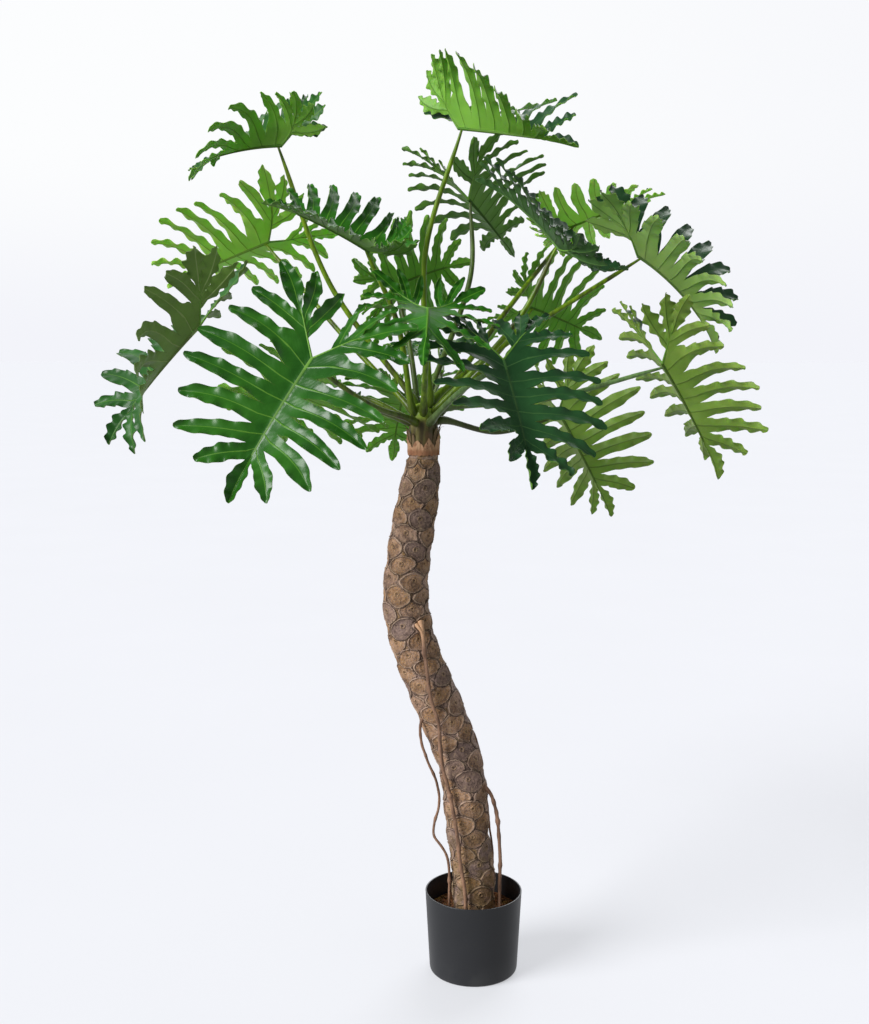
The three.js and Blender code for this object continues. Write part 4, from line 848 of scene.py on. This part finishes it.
def blade_patches(size, draw, chance, lateral_tips, midrib_nodes):
    """Flat patches of a blade, as grids of x, y, rise, upper relief, lower relief, and vein place."""
    patches = []
    reach = np.abs(ACROSS)
    part = (ACROSS + 1) / 2

    def patch(spots, rise, above, below, vein):
        """Keeps one grid, turned so that its faces look up."""
        first, second = spots[1:, 1:] - spots[:-1, :-1], spots[1:, :-1] - spots[:-1, 1:]
        grids = spots, rise, above, below, vein
        if (first[..., 0] * second[..., 1] - first[..., 1] * second[..., 0]).sum() < 0:
            grids = tuple(grid[:, ::-1] for grid in grids)
        patches.append(grids)

    def lobe(rib_a, rib_b, notch_a, notch_b, tip, belly, ripple, tip_drop=0.03):
        """One strap-shaped lobe: the web from its rib to the two notches, then the free strap."""
        root = (notch_a + notch_b) / 2
        web = np.linalg.norm(root - (rib_a + rib_b) / 2)
        length = np.linalg.norm(tip - root)
        axis = (tip - root) / length
        cross = np.array([axis[1], -axis[0]])
        if np.dot(notch_b - notch_a, cross) < 0:
            cross = -cross
        spots, rise, along, width = [], [], [], []
        for t in np.linspace(0, 1, WEB_ROWS + 1):
            a, b = rib_a + (notch_a - rib_a) * t, rib_b + (notch_b - rib_b) * t
            spots.append(a + (b - a) * part[:, None])
            rise.append(WEB_HOLLOW * size * t * (ACROSS ** 2 - 1))
            along.append(t * web)
            width.append(np.linalg.norm(b - a) / 2)
        waves = chance.uniform(1.2, 2.3, 2)
        phases = chance.uniform(0, 1, 6)
        bow = chance.uniform(0.01, 0.06) * length
        swing = chance.uniform(0.7, 1.4) * LOBE_FLUTTER * size
        for j in range(1, LOBE_ROWS + 1):
            s = 1 - (1 - j / LOBE_ROWS) ** 1.35
            rounding = math.sqrt(max(1 - max((s - 0.9) / 0.1, 0) ** 2, 0))
            # The web's end and the lobe's tip are calm, and the edges between them wave
            calm = float(smooth(s / 0.2) * smooth((1 - s) / 0.12))
            half, flutter = [], []
            for side in (0, 1):
                angle = FULL_TURN * (s * waves[side] + phases[side])
                scallop = 0.05 * math.sin(angle) + 0.015 * math.sin(2.3 * angle + 6 * phases[side + 2])
                half.append(belly * (np.interp(s, STRAP_PLACES, STRAP_WIDTHS) + calm * scallop) * rounding)
                flutter.append(math.sin(FULL_TURN * (s * (waves[side] + 1.9) + phases[side + 4])))
            centre = root + axis * length * s + cross * bow * math.sin(math.pi * s)
            turn = float(smooth(s / 0.3))
            to_a = (notch_a - root) * (1 - turn) - cross * half[0] * turn
            to_b = (notch_b - root) * (1 - turn) + cross * half[1] * turn
            spots.append(centre + np.where(ACROSS[:, None] < 0, to_a, to_b) * reach[:, None])
            twist = np.interp(s, [0, 0.62, 1], [0, 1, -0.4]) * -ACROSS * ripple
            flutter = np.where(ACROSS < 0, *flutter) * swing * calm * ACROSS ** 2
            valley = LOBE_VALLEY * size * (reach ** 1.2 - 0.5) * (0.35 + 0.65 * calm)
            rise.append(twist + flutter + valley - tip_drop * size * s * s)
            along.append(web + s * length)
            width.append(sum(half) / 2)
        along, width = np.array(along)[:, None], np.array(width)[:, None]
        taper = (1 - 0.65 * along / along[-1]) * MM
        above = taper * np.interp(reach, [0, 0.05, 0.16, 1], [0.55, 0.0, -0.06, 0])
        below = taper * np.interp(reach, [0, 0.05, 0.16], [0.9, 0.25, 0])
        vein = np.stack(np.broadcast_arrays(width * ACROSS, along, width), axis=-1)
        patch(np.array(spots), np.array(rise), above, below, vein)

    def notch(rib_spot, tip_a, tip_b):
        """Bottom of the cut between two lobes."""
        return rib_spot + ((tip_a + tip_b) / 2 - rib_spot) * NOTCH_REACH

    def lobe_form():
        """Half width and ripple of the next lobe."""
        return LOBE_HALF_WIDTH * size * (0.9 + 0.2 * draw()), LOBE_RIPPLE * size * (0.6 + 0.8 * draw())

    # Midrib strip
    widths = [MIDRIB_HALF_WIDTH * (1 - 0.6 * share) for share in midrib_nodes]
    steps = np.arange(len(midrib_nodes) - 1)[:, None] + part[:-1]
    steps = np.append(steps.ravel(), len(midrib_nodes) - 1)
    rows = np.interp(steps, range(len(widths)), midrib_nodes)[:, None] * size
    half = np.interp(steps, range(len(widths)), widths)[:, None]
    slim = (1 - 0.65 * rows / size) * (1 - ACROSS ** 2)
    zero = 0 * slim
    spots = np.stack(np.broadcast_arrays(half * ACROSS, rows), axis=-1)
    vein = np.stack(np.broadcast_arrays(zero, rows, zero), axis=-1)
    patch(spots, zero, slim * MM, slim * MIDRIB_KEEL, vein)

    far_tip = polar(size, 0)
    firsts = []
    for sign in (1, -1):
        side = np.array([sign, 1])
        tips = []
        for distance, angle in lateral_tips + REAR_TIPS:
            distance *= 0.96 + 0.08 * draw()
            tips.append(polar(distance * size, angle + 3 * (draw() - 0.5)) * side)
        lateral, (outer_tip, end_tip) = tips[:len(lateral_tips)], tips[-3:-1]
        heels = [polar(share * size, REAR_RIB_ANGLE) * side for share in REAR_RIB_NODES]
        ribs = [np.array([sign * w, share * size]) for w, share in zip(widths, midrib_nodes)]
        count = len(lateral)
        notches = []
        for n, (before, after) in enumerate(zip([far_tip] + lateral, lateral)):
            notches.append(notch(np.array([0, midrib_nodes[count - n] * size]), before, after))
        heel_notch = notch(heels[0], lateral[-1], outer_tip)
        notches.append(heel_notch)
        firsts.append((ribs[-1], notches[0]))
        for n in range(count):
            lobe(ribs[count - n], ribs[count - n - 1], notches[n], notches[n + 1], lateral[n],
                 *lobe_form(), chance.uniform(0, 0.05))

        # Lobes behind the stalk: an outer one, one at the rear rib's end, and an inner one that is
        # forked into two narrower ones
        outer_notch = notch(heels[2], outer_tip, end_tip)
        lobe(heels[0], heels[2], heel_notch, outer_notch, outer_tip, *lobe_form())
        inner_angle = REAR_TIPS[2][1]
        inner_far = polar(0.61 * size, inner_angle - 7) * side
        inner_near = polar(0.5 * size, inner_angle + 14) * side
        end_notch = notch(heels[2], end_tip, inner_far)
        lobe(heels[2], heels[2], outer_notch, end_notch, end_tip, *lobe_form())
        belly, ripple = lobe_form()
        inner_notch = notch(heels[1], inner_far, inner_near)
        lobe(heels[2], heels[1], end_notch, inner_notch, inner_far, belly * 0.74, ripple)
        lobe(heels[1], heels[0], inner_notch, heels[0], inner_near, belly * 0.66, ripple)

        # Gusset of blade between the midrib's foot, the first heel and the notch over it
        foot = ribs[0] + (heels[0] - ribs[0]) * np.linspace(0, 1, 7)[None, :, None]
        spots = foot + (heel_notch - foot) * np.linspace(0, 1, WEB_ROWS + 1)[:, None, None]
        zero = np.zeros(spots.shape[:2])
        patch(spots, zero, zero, zero, np.stack([zero + 0.5 * size, zero, zero + size], axis=-1))

    (rib_right, notch_right), (rib_left, notch_left) = firsts
    lobe(rib_left, rib_right, notch_left, notch_right, far_tip * 1.02, LOBE_HALF_WIDTH * size, 0.0, 0.02)
    return patches


def leaf_mesh(leaf, number):
    """Points, faces, finish numbers and vein places of one leaf: blade, ribs and stalk."""
    ring, bearing, way, base, tip, face, fold, *angles = leaf[:10]
    twist, droop, rear = np.radians(angles)
    fold = np.radians(fold)
    base = np.array(base) * MM
    chord = np.array(tip) * MM - base
    size = np.linalg.norm(chord) * droop / 2 / math.sin(droop / 2)
    forward = chord / np.linalg.norm(chord)
    face = face - forward * np.dot(face, forward)
    face = face / np.linalg.norm(face)
    sideways = np.cross(forward, face)

    def place(x, y, rise):
        """Point of the flat blade, bent and twisted along its midrib and folded along it."""
        bend = np.where(y < 0, -rear / REAR_REACH, droop) / size
        turn = droop / 2 - bend * y
        run = (math.sin(droop / 2) - np.sin(turn)) / bend
        climb = (np.cos(turn) - math.cos(droop / 2)) / bend
        share = np.clip(y / size, 0, 1)
        angle = (fold[0] + (fold[1] - fold[0]) * share) * (1 - LOBE_SAG * np.abs(x) / size)
        width, height = x * np.cos(angle), np.abs(x) * np.sin(angle) + rise
        roll = twist * share
        lift = width * np.sin(roll) + height * np.cos(roll)
        return (base + (width * np.cos(roll) - height * np.sin(roll))[..., None] * sideways
                + (run - lift * np.sin(turn))[..., None] * forward
                + (climb + lift * np.cos(turn))[..., None] * face)

    young = number in YOUNG_LEAVES
    patches = blade_patches(
        size, repeatable(99 + number), np.random.default_rng(500 + number),
        YOUNG_LATERAL_TIPS if young else LATERAL_TIPS, YOUNG_MIDRIB_NODES if young else MIDRIB_NODES)
    flat, values, quads, veins = [], [], [], []
    start = 0
    for spots, rise, above, below, vein in patches:
        index = np.arange(rise.size).reshape(rise.shape) + start
        start += rise.size
        flat.append(spots.reshape(-1, 2))
        values.append(np.stack([rise, above, below], axis=-1).reshape(-1, 3))
        corners = [index[:-1, :-1], index[:-1, 1:], index[1:, 1:], index[1:, :-1]]
        quads.append(np.stack(corners, axis=-1).reshape(-1, 4))
        veins.append(vein.reshape(-1, 3))
    flat, values, quads, veins = (np.vstack(rows) for rows in (flat, values, quads, veins))
    # Corners of neighbouring patches become one
    unused, first, merged = np.unique(np.round(flat / 2e-6), axis=0, return_index=True, return_inverse=True)
    merged = merged.ravel()
    counts = np.bincount(merged)
    rise, above, below = (np.bincount(merged, column) / counts for column in values.T)
    middle = place(flat[first, 0], flat[first, 1], rise)
    corners = merged[quads]
    crossing = np.cross(middle[corners[:, 2]] - middle[corners[:, 0]],
                        middle[corners[:, 3]] - middle[corners[:, 1]])
    normals = np.zeros_like(middle)
    for k in range(4):
        np.add.at(normals, corners[:, k], crossing)
    normals /= np.maximum(np.linalg.norm(normals, axis=1), 1e-12)[:, None]
    upper = middle + normals * (BLADE_HALF_THICKNESS + above)[:, None]
    lower = middle - normals * (BLADE_HALF_THICKNESS + below)[:, None]
    skin = len(middle)
    points, faces, kinds, grain, edges = [*upper, *lower], [], [], [], {}
    for quad, source in zip(corners.tolist(), quads.tolist()):
        keep = [k for k in range(4) if quad[k] != quad[k - 1]]
        if len(keep) < 3:
            continue
        shown, places = [quad[k] for k in keep], [source[k] for k in keep]
        faces += [shown, [skin + corner for corner in shown[::-1]]]
        kinds += [UPPER_FACE, UNDERSIDE]
        grain += places + places[::-1]
        for k, corner in enumerate(shown):
            edges[(shown[k - 1], corner)] = places[k]
    for (a, b), source in edges.items():
        if (b, a) not in edges:
            faces.append([a, skin + a, skin + b, b])
            kinds.append(UNDERSIDE)
            grain += [source] * 4
    grain = veins[grain].tolist()

    def attach(path, radii, sides, kind):
        """Joins a stem to the leaf."""
        stem_points, stem = tube(path, radii, sides)
        start = len(points)
        points.extend(stem_points)
        faces.extend([start + corner for corner in stem_face] for stem_face in stem)
        kinds.extend([kind] * len(stem))
        grain.extend([(0.0, 0.0, 0.0)] * sum(len(stem_face) for stem_face in stem))

    # Ribs that run back past the stalk, as low rounded cords in the blade
    for sign in (1, -1):
        stops = [polar(share * size, REAR_RIB_ANGLE) for share in [0] + REAR_RIB_NODES]
        stops.append(polar(REAR_RIB_END * size, REAR_RIB_ANGLE - 1))
        x, y = np.array(stops).T
        knots = place(sign * x, y, np.array([0, 0, 0, 0, -0.012 * size]))
        path, places = curve_through(knots, REAR_RIB_RINGS)
        attach(path, np.linspace(1.9, 0.5, REAR_RIB_RINGS) * MM, 8, RIB)

    # Stalk, from its pin in the crown to the blade, with a swollen foot
    level, ring_radius, steep = CROWN_RINGS[ring]
    bearing = math.radians(bearing)
    out = np.array([math.cos(bearing), math.sin(bearing), 0])
    mouth = (NECK_X, 0, level * MM) + out * ring_radius * MM
    out = (out + (0, 0, steep)) / math.hypot(1, steep)
    tangent = forward * math.cos(droop / 2) + face * math.sin(droop / 2)
    normal = face * math.cos(droop / 2) - forward * math.sin(droop / 2)
    end = base - normal * 1.1 * MM + tangent * 7 * MM
    knots = [mouth - out * STALK_PIN_DEPTH, mouth + out * 6 * MM, np.array(way) * MM, end]
    path, places = curve_through(knots, STALK_RINGS)
    radii = np.interp(places, range(4), STALK_RADII) * MM
    radii *= 1 + 0.4 * hump(np.linalg.norm(path - path[0], axis=1), 16 * MM, 18 * MM)
    radii *= np.interp(range(STALK_RINGS), [STALK_RINGS - 8, STALK_RINGS - 1], [1, 0.55])
    attach(path, radii, 14, STALK)
    return points, faces, kinds, grain


def blade_finish(name, depth, roughness, gloss, glow, body, shade, vein_colour, side_colour, margin):
    """Moulded, painted blade: soft blotches, a vein along each lobe, side veins and a thin margin.

    Glow is how much of the light that falls on the blade's other side comes through it."""
    material, tree, shader = finish(name, roughness, 1.46, gloss)
    shader["Subsurface Weight"].default_value = glow
    shader["Subsurface Radius"].default_value = (0.6, 1.0, 0.15)
    shader["Subsurface Scale"].default_value = 2.5 * MM
    vein = add(tree, "Attribute", out="Vector", attribute_name="vein_place")
    across, along, width = add(tree, "SeparateXYZ", [vein], None)
    off = add(tree, "Math", [across], operation="ABSOLUTE")
    blotch = speckle(tree, 38 * MM)
    colour = coat(tree, body, past(tree, (blotch, 0.35, 0.65)), shade)
    # Side veins leave the lobe's vein at a slant, at about even steps
    bending = speckle(tree, 20 * MM, 2)
    steps = (along, 1 / SIDE_VEIN_STEP), (off, -1.1 / SIDE_VEIN_STEP)
    part = summed(tree, *steps, (bending, 1.2), start=0.5)
    part = add(tree, "Math", [part, 0.5], operation="PINGPONG")
    colour = coat(tree, colour, past(tree, (part, 0.07, 0.02)), side_colour, 0.14)
    # The vein is thin and gets thinner towards the lobe's tip, and the margin isn't painted on ribs
    half = [along, 0.0, 130 * MM, 0.7 * MM, 0.15 * MM]
    half = add(tree, "MapRange", half, interpolation_type="SMOOTHSTEP")
    line = past(tree, (summed(tree, (half, -1), start=off), 0.4 * MM, -0.1 * MM))
    fade = add(tree, "MapRange", [width, 0.0, 1 * MM, 0.9, 0.65], interpolation_type="SMOOTHSTEP")
    line = add(tree, "Math", [line, fade], operation="MULTIPLY")
    colour = coat(tree, colour, line, vein_colour)
    inset = summed(tree, (off, -1), start=width)
    rim = past(tree, (inset, 0.9 * MM, 0.3 * MM), (along, 19.9 * MM, 20 * MM))
    colour = coat(tree, colour, rim, margin, 0.45)
    shine = [blotch, 0.3, 0.7, roughness - 0.05, roughness + 0.07]
    shine = add(tree, "MapRange", shine, interpolation_type="SMOOTHSTEP")
    tree.links.new(summed(tree, (line, 0.3), start=shine), shader["Roughness"])
    pillow = summed(tree, (part, 0.14), start=speckle(tree, 11 * MM, 2))
    surface(tree, shader, colour, pillow, depth)
    return material


def stalk_finish(name, roughness, flush_shade_strength, low, high):
    """Moulded leaf stalk: a smooth sleeve with fine lengthwise streaks, a dark flush and a darker foot,
    which are partly painted shade.
    """
    material, tree, shader = finish(name, roughness, 1.46, 0.36)
    streak = speckle(tree, 3 * MM, 3, (1, 1, 0.15))
    flush_shade = speckle(tree, 13 * MM, 2, (1, 1, 0.12))
    colour = coat(tree, low, past(tree, (streak, 0.3, 0.7)), high)
    # The dark flush is partly painted shade, in patches wide enough to darken one side of a stalk
    colour = coat(tree, colour, past(tree, (flush_shade, 0.47, 0.66)), "#37311a", flush_shade_strength)
    # The foot is darker: partly the bases' own darker olive, partly painted shade where the stalks crowd into
    # the crown
    colour = coat(tree, colour, past(tree, (level_in(tree), 1020 * MM, 940 * MM)), "#464a26", 0.6)
    surface(tree, shader, colour, streak, 0.25 * MM)
    return material


# Each leaf takes one of several lighter and darker copies of the moulded colours. The dark upper face is
# partly painted shade, for leaves that lie in shadow.
# Roughness, gloss, share of light let through, and colours: body, its shade, vein, side veins, margin
UPPER_FACES = {
    "fresh": (0.3, 0.35, 0.0, "#1c4f0e", "#2c6614", "#62942a", "#2f7322", "#3a5a1c"),
    "young": (0.44, 0.14, 0.0, "#23590f", "#2f7018", "#5f9a2c", "#36802a", "#3a5a1c"),
    "deep": (0.36, 0.26, 0.0, "#1f4c18", "#2b6020", "#5f8c34", "#2c6428", "#2c401a"),
    "dark": (0.4, 0.18, 0.0, "#1f4423", "#28522a", "#47703a", "#24502c", "#1c2a18"),
}
# Brighter undersides are partly painted light: bright paints the light that shines through a lit leaf. The
# shade and night copies are painted shade, for leaves that lie in shadow.
UNDERSIDES = {
    "lime": (0.5, 0.35, 0.85, "#6c9c34", "#7dae42", "#44701f", "#82b048", "#627e30"),
    "bright": (0.5, 0.35, 0.85, "#a6c854", "#b4d664", "#5f8a28", "#a6d45c", "#7c9a3c"),
    "moss": (0.5, 0.35, 0.85, "#728e36", "#839e46", "#43601e", "#82a048", "#5c7230"),
    "pale": (0.5, 0.35, 0.7, "#8fb05c", "#9fbe6c", "#56783a", "#8fb062", "#6c8442"),
    "shade": (0.5, 0.35, 0.35, "#54802a", "#659236", "#345818", "#68963a", "#4b682a"),
    "night": (0.55, 0.2, 0.1, "#34552a", "#426634", "#5a7f40", "#3a5c2e", "#2a3c20"),
    "dusky": (0.55, 0.35, 0.1, "#5f8030", "#6f9240", "#9ab070", "#5f7438", "#44522a"),
}
# Roughness, strength of the dark flush, which is partly painted shade, and the colours of the streaks
STALKS = {
    "olive": (0.36, 0.75, "#4c6c0a", "#769614"),
    "dusky": (0.42, 0.6, "#3e5220", "#56702c"),
    "pale": (0.4, 0.35, "#587c46", "#7a9c5c"),
}
uppers = {key: blade_finish(f"moulded_leaf_{key}", 0.7 * MM, *row) for key, row in UPPER_FACES.items()}
unders = {key: blade_finish(f"moulded_leaf_back_{key}", 0.5 * MM, *row) for key, row in UNDERSIDES.items()}
stalks = {key: stalk_finish(f"moulded_stalk_{key}", *row) for key, row in STALKS.items()}
rib = stalk_finish("moulded_leaf_rib", 0.5, 0.0, "#588a28", "#70a038")

for number, leaf in enumerate(LEAVES, 1):
    points, faces, kinds, grain = leaf_mesh(leaf, number)
    upper, under, stalk = leaf[10:]
    slot = "leaf_dark" if number in DARK_LEAVES else "leaf"
    finishes = [uppers[upper], unders[under], rib, stalks[stalk]]
    made = piece(f"leaf_{number:02d}_blade", points, faces, finishes, slot, f"leaf_{number:02d}", kinds, 62)
    places = made.data.attributes.new("vein_place", "FLOAT_VECTOR", "CORNER")
    places.data.foreach_set("vector", np.array(grain, np.float32).ravel())

# Studio
# A white sweep: the paper floor runs on into a white surround, with a large soft light from the upper
# left, a weak one from the right and one from behind that rims the leaves. The paper glows a little,
# as overexposed white paper does, so only the soft shadow under the plant shows on it.
FLOOR_HALF = 200
PAPER_GLOW = 0.5
floor_mesh = bpy.data.meshes.new("studio_floor")
corners = [(x * FLOOR_HALF, y * FLOOR_HALF, 0) for x, y in ((-1, -1), (1, -1), (1, 1), (-1, 1))]
floor_mesh.from_pydata(corners, [], [[0, 1, 2, 3]])
floor = bpy.data.objects.new("studio_floor", floor_mesh)
scene.collection.objects.link(floor)
paper, tree, shader = finish("studio_paper", 1.0, 1.45, 0)
shader["Emission Color"].default_value = linear("#fafbff")
shader["Emission Strength"].default_value = PAPER_GLOW
surface(tree, shader, coat(tree, "#97989c", speckle(tree, 0.35), "#9b9ca0"))
floor_mesh.materials.append(paper)
# The plant takes its light from below from the surround, which is dimmer there than glowing paper
floor.visible_diffuse = False
floor.visible_glossy = False

world = bpy.data.worlds.new("studio_surround")
world.use_nodes = True
tree = world.node_tree
right, away, upward = add(tree, "SeparateXYZ", [add(tree, "TexCoord", out="Generated")], None)
lit = coat(tree, "#7c7e82", past(tree, (away, 0.0, 0.9)), "#eceef2")
lit = coat(tree, lit, past(tree, (upward, 0.0, -0.6)), "#bcbdc0")
shown = coat(tree, "#fcfdfe", past(tree, (right, -0.1, 0.5)), "#f6f7fb")
# At the horizon the surround has the colour of the paper, so no edge shows
shown = coat(tree, "#f3f4fa", past(tree, (upward, 0.0, 0.16)), shown)
seen = add(tree, "LightPath", out="Is Camera Ray")
tree.links.new(coat(tree, lit, seen, shown), tree.nodes["Background"].inputs["Color"])
scene.world = world

# Name, direction from the plant, softness in degrees across, and power of each light
LIGHTS = [
    ("key_light", (-0.75, -0.45, 0.5), 34, 4.2),
    ("fill_light", (0.8, -0.45, 0.4), 50, 0.3),
    ("back_light", (0.25, 0.7, 0.65), 40, 1.3),
]
for name, towards, spread, power in LIGHTS:
    light = bpy.data.lights.new(name, "SUN")
    light.angle = math.radians(spread)
    light.energy = power
    lamp = bpy.data.objects.new(name, light)
    lamp.rotation_euler = Vector(towards).to_track_quat("Z", "Y").to_euler()
    scene.collection.objects.link(lamp)
